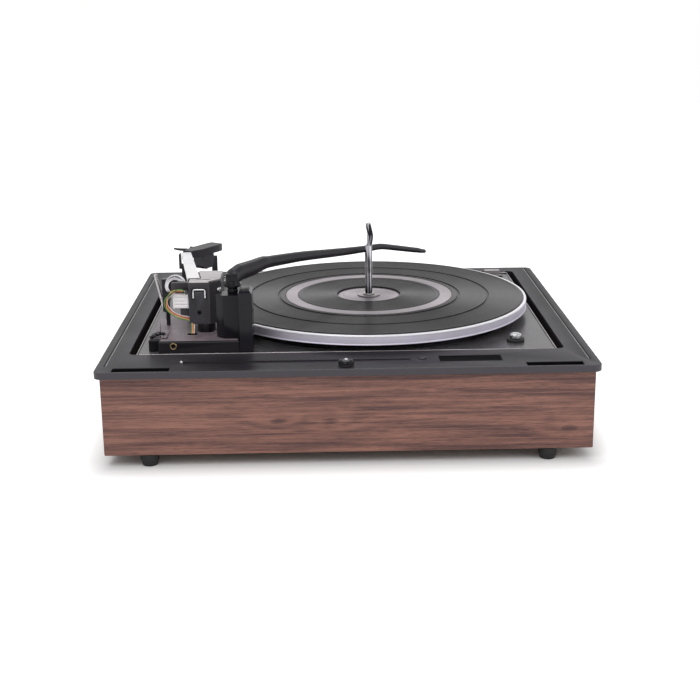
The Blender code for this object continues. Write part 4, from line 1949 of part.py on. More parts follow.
def main():
    clear_scene()
    looks = {
        "wood": paint("walnut veneer", (0.20, 0.085, 0.045), 0.45),
        "hardboard": paint("hardboard", (0.22, 0.14, 0.08), 0.8),
        "rubber": paint("black rubber", (0.02, 0.02, 0.02), 0.7),
        "black plastic": paint("black plastic", (0.015, 0.015, 0.017), 0.4),
        "gloss black": paint("gloss black plastic", (0.01, 0.01, 0.012), 0.15),
        "black paint": paint("black paint", (0.02, 0.02, 0.022), 0.35),
        "steel": paint("bright steel", (0.55, 0.55, 0.56), 0.35, 1.0),
        "chrome": paint("chrome", (0.8, 0.8, 0.82), 0.08, 1.0),
        "aluminium": paint("satin aluminium", (0.72, 0.72, 0.74), 0.3, 1.0),
        "brass": paint("brass", (0.75, 0.55, 0.25), 0.3, 1.0),
        "copper": paint("varnished winding", (0.45, 0.18, 0.08), 0.4),
        "nylon": paint("white nylon", (0.85, 0.84, 0.80), 0.5),
    }
    build_case(looks)
    build_drive(looks)
    build_arms(looks)


main()
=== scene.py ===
import json
import math
from functools import partial

import bmesh
import bpy
import numpy as np
from mathutils import Matrix, Vector


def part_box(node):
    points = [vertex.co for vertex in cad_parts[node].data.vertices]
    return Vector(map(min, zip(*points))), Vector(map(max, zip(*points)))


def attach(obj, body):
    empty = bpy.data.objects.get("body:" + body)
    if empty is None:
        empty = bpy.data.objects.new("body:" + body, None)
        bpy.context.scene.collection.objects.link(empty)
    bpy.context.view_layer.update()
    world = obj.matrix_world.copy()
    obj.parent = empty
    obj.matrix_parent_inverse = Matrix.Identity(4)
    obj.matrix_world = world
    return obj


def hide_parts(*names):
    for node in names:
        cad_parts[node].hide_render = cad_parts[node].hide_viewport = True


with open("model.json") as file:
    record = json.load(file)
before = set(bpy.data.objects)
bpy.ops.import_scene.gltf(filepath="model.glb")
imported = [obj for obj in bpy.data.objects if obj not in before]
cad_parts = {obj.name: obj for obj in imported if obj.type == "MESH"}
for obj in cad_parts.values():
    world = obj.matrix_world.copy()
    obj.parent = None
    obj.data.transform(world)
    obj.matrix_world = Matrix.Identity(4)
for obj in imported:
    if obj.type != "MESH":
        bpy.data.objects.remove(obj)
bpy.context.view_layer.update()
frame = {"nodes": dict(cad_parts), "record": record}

cadNodes = frame["nodes"]
bodyOf = {node: body for body, members in frame["record"]["behaviour"]["bodies"].items() for node in members}

# Upright axes that several pieces share, in metres
platterAxis = (-0.0242, -0.01335)
overarmAxis = (0.0985, 0.10975)


# Shader nodes

# Adds nodes from name: (type, properties, inputs). An input is a value, or a wire from "node.socket", with the
# socket's name or number
def addNodes(tree, table):
    for name, (kind, properties, inputs) in table.items():
        node = tree.nodes.new(kind)
        node.name = name
        for label, value in properties.items():
            setattr(node, label, value)
    for name, (kind, properties, inputs) in table.items():
        for label, value in inputs.items():
            end = tree.nodes[name].inputs[label]
            if isinstance(value, str):
                start, socket = value.split(".")
                tree.links.new(tree.nodes[start].outputs[int(socket) if socket.isdigit() else socket], end)
            else:
                end.default_value = value


def mathNode(operation, *values, clamp=False):
    return "ShaderNodeMath", {"operation": operation, "use_clamp": clamp}, dict(enumerate(values))


def vectorNode(operation, *values):
    return "ShaderNodeVectorMath", {"operation": operation}, dict(enumerate(values))


def noiseNode(place, **values):
    return "ShaderNodeTexNoise", {}, {"Vector": place, **{key.capitalize(): values[key] for key in values}}


# limits: from low, from high, then to low and to high where they aren't 0 and 1
def rangeNode(value, *limits, **properties):
    return "ShaderNodeMapRange", {"clamp": True, **properties}, dict(enumerate((value, *limits)))


def mixNode(share, first, second, kind="RGBA"):
    slot = {"RGBA": 6, "FLOAT": 2}[kind]
    return "ShaderNodeMix", {"data_type": kind}, {0: share, slot: first, slot + 1: second}


def splitNode(place):
    return "ShaderNodeSeparateXYZ", {}, {0: place}


# Grey stops: (position, value)
def fillRamp(ramp, stops):
    while len(ramp.elements) > 1:
        ramp.elements.remove(ramp.elements[0])
    for number, (place, value) in enumerate(stops):
        element = ramp.elements[0] if number == 0 else ramp.elements.new(place)
        element.position = place
        element.color = (value, value, value, 1)


# A shader group; its inputs are numbers, vectors of three or colours of four. The roughness is rough plus
# roughSpread times tone, and height is the relief's
def makeGroup(name, inputs, table, tone, height, color, rough="rough.0"):
    tree = bpy.data.node_groups.new(name, "ShaderNodeTree")
    for label, value in inputs.items():
        kind = "Float" if isinstance(value, float) else "Vector" if len(value) == 3 else "Color"
        socket = tree.interface.new_socket(label, in_out="INPUT", socket_type="NodeSocket" + kind)
        socket.default_value = value
    for label, kind in (("Base Color", "Color"), ("Roughness", "Float"), ("Normal", "Vector")):
        tree.interface.new_socket(label, in_out="OUTPUT", socket_type="NodeSocket" + kind)
    addNodes(tree, {
        "in": ("NodeGroupInput", {}, {}),
        "place": ("ShaderNodeTexCoord", {}, {}),
        **table,
        "roughShift": mathNode("MULTIPLY", tone, "in.roughSpread"),
        "rough": mathNode("ADD", "roughShift.0", "in.rough", clamp=True),
        "bump": ("ShaderNodeBump", {}, {"Strength": 1.0, "Height": height, "Distance": "in.relief"}),
        "out": ("NodeGroupOutput", {}, {"Base Color": color, "Roughness": rough, "Normal": "bump.0"}),
    })
    return tree


# Fine speckle, slow variation, lighter edges (partly real rubbing, partly a painted highlight along the
# edges), dust on what faces up: moulded plastic, rubber, paint, board
mouldedGroup = makeGroup(
    "moulded surface",
    {"color": (0.5, 0.5, 0.5, 1), "worn": (0.5, 0.5, 0.5, 1), "spread": 0.2, "scale": 900.0, "rough": 0.4,
     "roughSpread": 0.1, "relief": 0.00002, "wear": 0.3, "dust": 0.0, "dustColor": (0.2, 0.18, 0.18, 1)},
    {
        "shape": ("ShaderNodeNewGeometry", {}, {}),
        "fine": noiseNode("place.Object", scale="in.scale", detail=3.0, roughness=0.6),
        "slow": noiseNode("place.Object", scale=22.0, detail=3.0),
        # Lighter colour on sharp edges: partly real rubbing, partly a painted highlight where edges catch the
        # light
        "edge": rangeNode("shape.Pointiness", 0.515, 0.58),
        "edgeAmount": mathNode("MULTIPLY", "edge.Result", "in.wear"),
        "slowShift": mathNode("SUBTRACT", "slow.0", 0.5),
        "fineShift": mathNode("SUBTRACT", "fine.0", 0.5),
        "shiftSum": mathNode("ADD", "slowShift.0", "fineShift.0"),
        "toneShift": mathNode("MULTIPLY", "shiftSum.0", "in.spread"),
        "tone": mathNode("ADD", "toneShift.0", 1.0),
        "tinted": ("ShaderNodeVectorMath", {"operation": "SCALE"}, {0: "in.color", "Scale": "tone.0"}),
        "mixed": mixNode("edgeAmount.0", "tinted.0", "in.worn"),
        "facing": splitNode("place.Normal"),
        "upward": rangeNode("facing.Z", 0.80, 0.99),
        "dustNoise": noiseNode("place.Object", scale=90.0, detail=5.0, roughness=0.7),
        "dustPatch": rangeNode("dustNoise.0", 0.25, 0.65, 0.45),
        "dustShare": mathNode("MULTIPLY", "upward.Result", "dustPatch.Result"),
        "dustAmount": mathNode("MULTIPLY", "dustShare.0", "in.dust", clamp=True),
        "dusted": mixNode("dustAmount.0", "mixed.2", "in.dustColor"),
        "dustRough": mathNode("MULTIPLY", "dustAmount.0", 0.25),
        "roughSum": mathNode("ADD", "rough.0", "dustRough.0", clamp=True),
    }, tone="shiftSum.0", height="fine.0", color="dusted.2", rough="roughSum.0")

# Lines drawn along one direction, the stretched axis: brushed or rolled metal. With a streak weight above 0
# the lines also set light and dark bands in the colour, a painted reflection
drawnGroup = makeGroup(
    "drawn metal",
    {"color": (0.6, 0.6, 0.6, 1), "dull": (0.4, 0.4, 0.4, 1), "stretch": (1.0, 1.0, 0.05), "scale": 2500.0,
     "rough": 0.3, "roughSpread": 0.2, "relief": 0.00001, "streaks": 0.0},
    {
        "stretched": vectorNode("MULTIPLY", "place.Object", "in.stretch"),
        "lines": noiseNode("stretched.0", scale="in.scale", detail=2.0),
        "slow": noiseNode("place.Object", scale=40.0, detail=4.0),
        "lineShift": mathNode("SUBTRACT", "lines.0", 0.5),
        "streakShare": mathNode("MULTIPLY", "lineShift.0", "in.streaks"),
        "toneSum": mathNode("ADD", "slow.0", "streakShare.0"),
        "amount": rangeNode("toneSum.0", 0.45, 0.75),
        "mixed": mixNode("amount.Result", "in.color", "in.dull"),
    }, tone="lineShift.0", height="lines.0", color="mixed.2")

# Rings round an upright axis: lathe turned metal, the mat's fine ribs
turnedGroup = makeGroup(
    "turned rings",
    {"color": (0.6, 0.6, 0.6, 1), "second": (0.4, 0.4, 0.4, 1), "centre": (0.0, 0.0, 0.0), "ringPitch": 0.001,
     "ringShare": 1.0, "rough": 0.3, "roughSpread": 0.2, "relief": 0.00002},
    {
        "moved": vectorNode("SUBTRACT", "place.Object", "in.centre"),
        "flat": vectorNode("MULTIPLY", "moved.0", (1.0, 1.0, 0.0)),
        "radius": vectorNode("LENGTH", "flat.0"),
        "split": splitNode("moved.0"),
        "both": ("ShaderNodeCombineXYZ", {}, {"X": "radius.Value", "Y": "split.Z"}),
        "lines": noiseNode("both.0", scale=2600.0, detail=3.0),
        "turns": mathNode("DIVIDE", "radius.Value", "in.ringPitch"),
        "angle": mathNode("MULTIPLY", "turns.0", math.tau),
        "wave": mathNode("SINE", "angle.0"),
        "waveShare": mathNode("MULTIPLY", "wave.0", "in.ringShare"),
        "lineShift": mathNode("SUBTRACT", "lines.0", 0.5),
        "height": mathNode("ADD", "waveShare.0", "lineShift.0"),
        "slow": noiseNode("place.Object", scale=26.0, detail=5.0),
        "toneSum": mathNode("ADD", "slow.0", "lineShift.0"),
        "amount": rangeNode("toneSum.0", 0.2, 0.9),
        "mixed": mixNode("amount.Result", "in.color", "in.second"),
    }, tone="toneSum.0", height="height.0", color="mixed.2")

# Walnut: s along the board, t up it. Growth bands in t, bent by slow noise and pushed round three knots,
# each with rings close about it; then streaks, fibres and pores
knotNodes = {}
for k in "123":
    knotNodes |= {
        "knotOffset" + k: vectorNode("SUBTRACT", "st.0", "in.knot" + k),
        "knotSquash" + k: vectorNode("MULTIPLY", f"knotOffset{k}.0", (0.36, 1.0, 1.0)),
        "knotReach" + k: vectorNode("LENGTH", f"knotSquash{k}.0"),
        "knot" + k: rangeNode(f"knotReach{k}.Value", 0.0, 0.017, 1.0, 0.0, interpolation_type="SMOOTHERSTEP"),
    }
walnutGroup = makeGroup(
    "walnut veneer",
    {"pale": (0.4, 0.2, 0.1, 1), "dark": (0.1, 0.05, 0.03, 1), "along": (1.0, 0.0, 0.0),
     "knot1": (0.0, 0.0, 0.0), "knot2": (0.0, 0.0, 0.0), "knot3": (0.0, 0.0, 0.0), "bands": 420.0,
     "bend": 16.0, "rough": 0.45, "roughSpread": 0.15, "relief": 0.00003},
    {
        "s": vectorNode("DOT_PRODUCT", "place.Object", "in.along"),
        "split": splitNode("place.Object"),
        "st": ("ShaderNodeCombineXYZ", {}, {"X": "s.Value", "Y": "split.Z"}),
        **knotNodes,
        "knotPair": mathNode("MAXIMUM", "knot1.Result", "knot2.Result"),
        "knotMost": mathNode("MAXIMUM", "knotPair.0", "knot3.Result"),
        "knotBend": mathNode("MULTIPLY", "knotMost.0", 6.5),
        "knotHeart": ("ShaderNodeValToRGB", {}, {0: "knotMost.0"}),
        "knotTone": mathNode("SUBTRACT", "knotHeart.0", 0.5),
        "warpPlace": vectorNode("MULTIPLY", "st.0", (3.2, 13.0, 1.0)),
        "warp": noiseNode("warpPlace.0", scale=1.0, detail=2.5, roughness=0.45),
        "bandRise": mathNode("MULTIPLY", "split.Z", "in.bands"),
        "bandBend": mathNode("MULTIPLY", "warp.0", "in.bend"),
        "bandSum": mathNode("ADD", "bandRise.0", "bandBend.0"),
        "bandAll": mathNode("ADD", "bandSum.0", "knotBend.0"),
        "bandWave": mathNode("SINE", "bandAll.0"),
        "bandShare": mathNode("MULTIPLY", "bandWave.0", 0.060),
        "streakPlace": vectorNode("MULTIPLY", "st.0", (11.0, 420.0, 1.0)),
        "streak": noiseNode("streakPlace.0", scale=1.0, detail=4.0, roughness=0.62, distortion=0.6),
        "fibrePlace": vectorNode("MULTIPLY", "st.0", (85.0, 1900.0, 1.0)),
        "fibre": noiseNode("fibrePlace.0", scale=1.0, detail=3.0, roughness=0.7),
        "fibreShare": mathNode("MULTIPLY", "fibre.0", 0.6),
        "patchPlace": vectorNode("MULTIPLY", "st.0", (7.0, 34.0, 1.0)),
        "patch": noiseNode("patchPlace.0", scale=1.0, detail=2.0),
        "patchShare": mathNode("MULTIPLY", "patch.0", 0.42),
        "banded": mathNode("ADD", "streak.0", "bandShare.0"),
        "fibred": mathNode("ADD", "banded.0", "fibreShare.0"),
        "patched": mathNode("ADD", "fibred.0", "patchShare.0"),
        "knotted": mathNode("ADD", "patched.0", "knotTone.0"),
        "level": rangeNode("knotted.0", 0.78, 1.20),
        "poreCut": rangeNode("fibre.0", 0.585, 0.66),
        "poreShare": mathNode("MULTIPLY", "poreCut.Result", 0.6),
        "grain": mixNode("level.Result", "in.pale", "in.dark"),
        "pored": mixNode("poreShare.0", "grain.2", (0.030, 0.015, 0.013, 1)),
    }, tone="level.Result", height="fibre.0", color="pored.2")
fillRamp(walnutGroup.nodes["knotHeart"].color_ramp,
         ((0.0, 0.5), (0.45, 0.45), (0.955, 0.43), (0.992, 0.62), (1.0, 0.72)))


# Looks

shaderInputs = {"metallic": "Metallic", "specular": "Specular IOR Level", "anisotropic": "Anisotropic",
                "anisotropicTurn": "Anisotropic Rotation", "subsurface": "Subsurface Weight",
                "subsurfaceScale": "Subsurface Scale"}


# A material: its own Principled shader fed by one of the groups. settings are the group's inputs by name, and
# the shader's by the short names above; anisotropic highlights run round the upright axis
def makeLook(group, name, **settings):
    look = bpy.data.materials.new(name)
    look.use_nodes = True
    tree = look.node_tree
    principled = tree.nodes["Principled BSDF"]
    pattern = tree.nodes.new("ShaderNodeGroup")
    pattern.node_tree = group
    for label, value in settings.items():
        if label in shaderInputs:
            principled.inputs[shaderInputs[label]].default_value = value
        else:
            socket = pattern.inputs[label]
            socket.default_value = (*value, 1) if socket.type == "RGBA" else value
    for label in ("Base Color", "Roughness", "Normal"):
        tree.links.new(pattern.outputs[label], principled.inputs[label])
    if "anisotropic" in settings:
        addNodes(tree, {"tangent": ("ShaderNodeTangent", {"direction_type": "RADIAL", "axis": "Z"}, {})})
        tree.links.new(tree.nodes["tangent"].outputs[0], principled.inputs["Tangent"])
    return look


walnut = partial(makeLook, walnutGroup, pale=(0.300, 0.136, 0.099), dark=(0.078, 0.034, 0.032))
moulded = partial(makeLook, mouldedGroup)
drawn = partial(makeLook, drawnGroup, metallic=1.0)
turned = partial(makeLook, turnedGroup, centre=(*platterAxis, 0.0))
looks = {
    "walnutX": walnut("walnut, long boards", along=(1.0, 0.0, 0.0), knot1=(0.0590, 0.0395, 0.0),
                      knot2=(0.0160, 0.0385, 0.0), knot3=(-0.1850, 0.0290, 0.0)),
    "walnutY": walnut("walnut, side boards", along=(0.0, 1.0, 0.0), knot1=(-0.1100, 0.0330, 0.0),
                      knot2=(0.0700, 0.0560, 0.0), knot3=(0.2600, 0.0300, 0.0)),
    "hardboard": moulded(
        "hardboard", color=(0.16, 0.095, 0.055), worn=(0.25, 0.16, 0.10), spread=0.7, scale=420.0,
        rough=0.72, roughSpread=0.2, relief=0.0001, wear=0.6),
    "deckPlastic": moulded(
        "deck plastic", color=(0.018, 0.016, 0.020), worn=(0.13, 0.12, 0.135), spread=0.35, scale=1500.0,
        rough=0.40, roughSpread=0.16, relief=0.000025, wear=0.8, specular=0.13),
    "armPlastic": moulded(
        "satin black plastic", color=(0.022, 0.020, 0.025), worn=(0.10, 0.095, 0.11), spread=0.3,
        scale=1800.0, rough=0.38, roughSpread=0.12, relief=0.00002, wear=0.6, specular=0.25),
    "glossPlastic": moulded(
        "glossy black plastic", color=(0.007, 0.006, 0.009), worn=(0.04, 0.038, 0.045), spread=0.25,
        scale=700.0, rough=0.16, roughSpread=0.10, relief=0.000008, wear=0.4, specular=0.15),
    "basePlastic": moulded(
        "base plastic, dusty on top", color=(0.008, 0.007, 0.009), worn=(0.05, 0.047, 0.05), spread=0.3,
        scale=900.0, rough=0.18, roughSpread=0.10, relief=0.00001, wear=0.5, dust=1.0,
        dustColor=(0.26, 0.21, 0.235), specular=0.22),
    # Near-black matte of the slot linings: painted shade of the hollows
    "paintedShadeBlack": moulded(
        "dark inside of the slots", color=(0.005, 0.005, 0.006), worn=(0.006, 0.006, 0.007), spread=0.4,
        scale=600.0, rough=0.8, relief=0.00004, wear=0.0, specular=0.05),
    # Its light edge colour is partly rubbing, partly a painted edge highlight
    "platePaint": moulded(
        "black plate paint", color=(0.013, 0.012, 0.014), worn=(0.22, 0.21, 0.22), spread=0.3,
        scale=1100.0, rough=0.26, roughSpread=0.12, relief=0.00003, wear=0.8, specular=0.30),
    "rubber": moulded(
        "black rubber", color=(0.016, 0.016, 0.016), worn=(0.05, 0.05, 0.05), spread=0.3, scale=700.0,
        rough=0.62, roughSpread=0.2, relief=0.00005, wear=0.5, specular=0.25),
    "nylon": moulded(
        "white nylon", color=(0.93, 0.90, 0.92), worn=(0.97, 0.95, 0.95), spread=0.08, scale=500.0,
        rough=0.40, roughSpread=0.15, relief=0.00003, wear=0.3, subsurface=0.08, subsurfaceScale=0.001),
    "copper": drawn(
        "enamelled winding", color=(0.55, 0.22, 0.10), dull=(0.30, 0.11, 0.06), stretch=(1.0, 0.05, 1.0),
        scale=1800.0, rough=0.32, relief=0.0001),
    "brass": drawn("brass", color=(0.72, 0.52, 0.25), dull=(0.48, 0.33, 0.15), rough=0.25),
    "eyeletBrass": drawn("aged brass", color=(0.42, 0.30, 0.16), dull=(0.24, 0.16, 0.09), rough=0.30),
    "steel": drawn(
        "bright steel", color=(0.56, 0.55, 0.54), dull=(0.38, 0.37, 0.36), stretch=(0.08, 1.0, 1.0),
        rough=0.30, roughSpread=0.2),
    "laminations": drawn(
        "stacked motor sheets", color=(0.30, 0.30, 0.31), dull=(0.17, 0.14, 0.12),
        stretch=(0.01, 0.01, 1.0), scale=1300.0, rough=0.42, roughSpread=0.4, relief=0.0002),
    "chrome": drawn(
        "chrome", color=(0.74, 0.74, 0.76), dull=(0.60, 0.60, 0.62), stretch=(1.0, 1.0, 0.1), rough=0.10,
        roughSpread=0.06, relief=0.000002),
    # Near-black chrome with light bands along the rod: the bands are a painted reflection
    "spindleChrome": drawn(
        "streaked chrome", color=(0.020, 0.019, 0.024), dull=(0.42, 0.41, 0.44),
        stretch=(1.0, 1.0, 0.035), scale=480.0, rough=0.14, roughSpread=0.12, relief=0.00002,
        streaks=1.6),
    "dialChrome": drawn(
        "knurled rim", color=(0.66, 0.65, 0.68), dull=(0.34, 0.33, 0.35), stretch=(1.0, 0.05, 1.0),
        rough=0.18, roughSpread=0.12, relief=0.000004),
    "armMetal": drawn(
        "satin tonearm metal", color=(0.86, 0.85, 0.86), dull=(0.74, 0.73, 0.75),
        stretch=(1.0, 0.03, 1.0), scale=1800.0, rough=0.30, roughSpread=0.10, relief=0.000004),
    "capMetal": drawn(
        "pale cap metal", color=(0.48, 0.45, 0.46), dull=(0.33, 0.31, 0.32), stretch=(0.05, 1.0, 1.0),
        rough=0.34, roughSpread=0.15, relief=0.00001),
    "rimMetal": turned(
        "turned rim", color=(0.70, 0.67, 0.77), second=(0.57, 0.54, 0.63), ringShare=0.0, rough=0.42,
        roughSpread=0.10, relief=0.000012, metallic=0.8, anisotropic=0.6),
    # Near-white, mostly non-metal copy of the rim metal: a painted highlight on the rim's top edge
    "rimHighlight": turned(
        "polished rim edge", color=(0.95, 0.94, 0.98), second=(0.86, 0.85, 0.89), ringShare=0.0,
        rough=0.30, roughSpread=0.10, relief=0.000008, metallic=0.3),
    "centreMetal": turned(
        "turned centre", color=(0.40, 0.365, 0.385), second=(0.31, 0.28, 0.30), ringShare=0.0, rough=0.40,
        roughSpread=0.12, relief=0.000012, metallic=1.0, anisotropic=0.6),
    "mat": turned(
        "ribbed mat", color=(0.024, 0.021, 0.023), second=(0.014, 0.0125, 0.0135), ringPitch=0.00115,
        ringShare=0.8, rough=0.30, roughSpread=0.10, relief=0.00006, anisotropic=0.9,
        anisotropicTurn=0.25, specular=0.16),
}
print("stage: looks", len(looks))


# Mesh helpers

# Corner numbers of the quads of a grid of points whose rows are rings; closed joins the last row to the first
def gridQuads(rows, cols, closed, first):
    i, j = np.meshgrid(np.arange(rows if closed else rows - 1), np.arange(cols), indexing="ij")
    nextRow, nextCol = (i + 1) % rows, (j + 1) % cols
    quads = np.stack([i * cols + j, i * cols + nextCol, nextRow * cols + nextCol, nextRow * cols + j], -1)
    return quads.reshape(-1, 4) + first


def finishMesh(name, sheet, look, body, node):
    sharpAngle = 35.0
    piece = bpy.data.objects.new(name, sheet)
    bpy.context.scene.collection.objects.link(piece)
    sheet.materials.append(looks[look])
    sheet.shade_smooth()
    sheet.set_sharp_from_angle(angle=math.radians(sharpAngle))
    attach(piece, body)
    if node:
        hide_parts(node)
    return piece


# One piece from grids of points, with touching seams welded. It rides the body of its node, or a named one
def surfacePiece(name, look, node, *grids, body=None, closed=False):
    weld = 0.0000005
    points, quads, count = [], [], 0
    for grid in grids:
        rows, cols = grid.shape[:2]
        points.append(grid.reshape(-1, 3))
        quads.append(gridQuads(rows, cols, closed, count))
        count += rows * cols
    sheet = bpy.data.meshes.new(name)
    sheet.from_pydata(np.concatenate(points).tolist(), [], np.concatenate(quads).tolist())
    form = bmesh.new()
    form.from_mesh(sheet)
    bmesh.ops.remove_doubles(form, verts=form.verts, dist=weld)
    bmesh.ops.recalc_face_normals(form, faces=form.faces)
    form.to_mesh(sheet)
    form.free()
    finishMesh(name, sheet, look, body or bodyOf[node], node)


# Rounds the corners of a line of points: (1-t)^2 a + 2 t (1-t) corner + t^2 b on each
def eased(profile, radius, steps=3, closed=False):
    corners = np.array(profile, float)
    count = len(corners)
    radii = np.broadcast_to(radius, count)
    out = []
    for k in range(count):
        if not closed and k in (0, count - 1):
            out.append(corners[k:k + 1])
            continue
        before, here, after = corners[k - 1], corners[k], corners[(k + 1) % count]
        back, ahead = before - here, after - here
        backLength, aheadLength = np.linalg.norm(back), np.linalg.norm(ahead)
        a = here + back * min(radii[k] / backLength, 0.45)
        b = here + ahead * min(radii[k] / aheadLength, 0.45)
        t = np.linspace(0, 1, steps + 1)[:, None]
        out.append((1 - t) ** 2 * a + 2 * t * (1 - t) * here + t ** 2 * b)
    return np.concatenate(out)


# (r, z) profile turned about the upright through centre: x = cx + r cos a, y = cy + r sin a
def turnedGrid(profile, steps, centre):
    radius, height = np.asarray(profile, float).T
    angle = np.arange(steps) / steps * math.tau
    x = centre[0] + np.outer(radius, np.cos(angle))
    y = centre[1] + np.outer(radius, np.sin(angle))
    return np.stack([x, y, np.repeat(height[:, None], steps, 1)], -1)


# Catmull-Rom curve through the points
def smoothPath(points, steps):
    p = np.array(points, float)
    p = np.vstack([2 * p[0] - p[1], p, 2 * p[-1] - p[-2]])
    t = (np.arange(steps) / steps)[:, None]
    spans = []
    for a, b, c, d in zip(p, p[1:], p[2:], p[3:]):
        square, cube = 2 * a - 5 * b + 4 * c - d, 3 * b - a - 3 * c + d
        spans.append(0.5 * (2 * b + (c - a) * t + square * t ** 2 + cube * t ** 3))
    return np.vstack([*spans, p[-2]])


# A round section of radius r(k) carried along the path, closed at both ends with a point
def sweptGrid(path, radius, sides, up=(0, 0, 1)):
    path = np.asarray(path, float)
    radii = np.broadcast_to(radius, len(path)).astype(float)
    tangent = np.gradient(path, axis=0)
    tangent /= np.linalg.norm(tangent, axis=1, keepdims=True)
    side = np.cross(tangent[0], up)
    side = side if np.linalg.norm(side) > 0.01 else np.cross(tangent[0], (1, 0, 0))
    across = []
    for direction in tangent:
        side = side - direction * side.dot(direction)
        side = side / np.linalg.norm(side)
        across.append(side)
    across = np.array(across)
    upright = np.cross(tangent, across)
    angle = np.arange(sides) / sides * math.tau
    rings = across[:, None] * np.cos(angle)[None, :, None] + upright[:, None] * np.sin(angle)[None, :, None]
    grid = path[:, None] + rings * radii[:, None, None]
    return np.concatenate([np.repeat(path[:1, None], sides, 1), grid, np.repeat(path[-1:, None], sides, 1)])


# A closed or open (r, y) profile turned about the line through centre along Y:
# x = cx + r cos a, z = cz + r sin a, with r cut back by notches where r is near the rim
def turnedAlongY(profile, steps, centre, notches=0, depth=0.0):
    radius, along = np.asarray(profile, float).T
    angle = np.arange(steps) / steps * math.tau
    cut = depth * (0.5 + 0.5 * np.cos(angle * notches)) * (radius > radius.max() - 0.0003)[:, None]
    reach = radius[:, None] - cut
    return np.stack([centre[0] + reach * np.cos(angle), np.repeat(along[:, None], steps, 1),
                     centre[1] + reach * np.sin(angle)], -1)


# A box with rounded corners: a rounded outline across, drawn in towards both ends by soft (1 - sin)
def blockGrid(low, high, soft, corner=4):
    low, high = np.array(low, float), np.array(high, float)
    middle, half = (low + high) / 2, (high - low) / 2
    turn = np.concatenate([np.linspace(k, k + 1, corner + 1) for k in range(4)]) * math.pi / 2
    signs = np.repeat([[1, 1], [-1, 1], [-1, -1], [1, -1]], corner + 1, 0)
    rim = np.stack([np.cos(turn), np.sin(turn)], -1)
    ease = np.linspace(0, math.pi / 2, corner)
    inset = np.concatenate([1 - np.sin(ease), (1 - np.sin(ease))[::-1]]) * soft
    rise = np.concatenate([-half[2] + soft * (1 - np.cos(ease)), (half[2] - soft * (1 - np.cos(ease)))[::-1]])
    flat = (half[:2] - soft) * signs
    rows = flat[None] + rim[None] * (soft - inset)[:, None, None]
    rows = np.concatenate([rows[:1] * 0, rows, rows[-1:] * 0])
    rise = np.concatenate([rise[:1], rise, rise[-1:]])
    grid = np.concatenate([rows, np.repeat(rise[:, None, None], rows.shape[1], 1)], -1)
    return grid + middle


# The node's own shape with its flat faces joined up and its edges rounded over. Where a neighbouring edge is
# short, the rounding is kept to a share of it
dressing = {"weld": 0.000001, "flatAngle": 0.6, "edgeAngle": 28.0, "shortShare": 0.42, "segments": 2}


def dressed(node, look, width):
    form = bmesh.new()
    form.from_mesh(cadNodes[node].data)
    bmesh.ops.remove_doubles(form, verts=form.verts, dist=dressing["weld"])
    bmesh.ops.dissolve_limit(form, angle_limit=math.radians(dressing["flatAngle"]), verts=form.verts,
                             edges=form.edges)
    weights = form.edges.layers.float.new("bevel_weight_edge")
    for edge in form.edges:
        if edge.is_manifold and edge.calc_face_angle(0) > math.radians(dressing["edgeAngle"]):
            near = [other.calc_length() for vert in edge.verts for other in vert.link_edges if other != edge]
            edge[weights] = min(1.0, dressing["shortShare"] * min(near) / width)
    sheet = bpy.data.meshes.new(node + "_dressed")
    form.to_mesh(sheet)
    form.free()
    piece = finishMesh(node + "_dressed", sheet, look, bodyOf[node], node)
    bevel = piece.modifiers.new("rounded edges", "BEVEL")
    bevel.limit_method = "WEIGHT"
    bevel.width = width
    bevel.segments = dressing["segments"]
    bevel.use_clamp_overlap = False
    bevel.harden_normals = True


# Pieces that keep the solid's shape: look, width of the rounded edges in millimetres, nodes
dressings = (
    ("walnutX", 0.4, "plinth_front plinth_rear"), ("walnutY", 0.4, "plinth_left plinth_right"),
    ("hardboard", 0.4, "bottom_board mounting_board"), ("deckPlastic", 0.7, "deck_surround"),
    ("platePaint", 0.4, "unit_plate"), ("basePlastic", 0.4, "tonearm_base"),
    ("glossPlastic", 0.5, "overarm_pillar"), ("armPlastic", 0.4, "arm_yoke"), ("capMetal", 0.2, "pivot_cap"),
    ("armPlastic", 0.4, "headshell"), ("armPlastic", 0.3, "cartridge"), ("armMetal", 0.3, "tonearm"),
    ("armPlastic", 0.4, "arm_rest"), ("glossPlastic", 0.4, "cue_bracket"), ("steel", 0.3, "cue_lift"),
    ("armPlastic", 0.4, "start_lever size_lever"), ("capMetal", 0.4, "speed_lever"),
    ("nylon", 0.2, "lead_connector cycle_gear"), ("steel", 0.2, "cycle_lever idler_arm"),
    ("armPlastic", 0.3, "power_switch"), ("nylon", 0.2, "tag_strip"),
    ("steel", 0.2, "motor_bracket_top motor_bracket_bottom"), ("laminations", 0.2, "motor_stator"),
    ("copper", 0.6, "motor_coil"), ("steel", 0.1, "spindle_latch"), ("centreMetal", 0.1, "platter_clip"),
    ("rubber", 0.3, "cord_grommet"), ("rubber", 0.6, "foot_1 foot_2 foot_3 foot_4"),
    ("rubber", 0.5, "transit_washer_1 transit_washer_2"), ("chrome", 0.4, "transit_screw_1 transit_screw_2"),
    ("steel", 0.3, "motor_rotor"), ("brass", 0.2, "motor_pulley"), ("rubber", 0.3, "idler_wheel"),
    ("steel", 0.2, "bearing_post thrust_race"), ("chrome", 0.3, "overarm_shaft"),
)
for look, width, nodes in dressings:
    for node in nodes.split():
        dressed(node, look, width / 1000)
print("stage: dressed")


# Platter, mat and trim ring

platter = {"steps": 288, "centreSteps": 144}


# A closed (r, z) profile turned about the platter's axis
def platterRing(name, look, node, profile):
    surfacePiece(name, look, node, turnedGrid(profile, platter["steps"], platterAxis), closed=True)


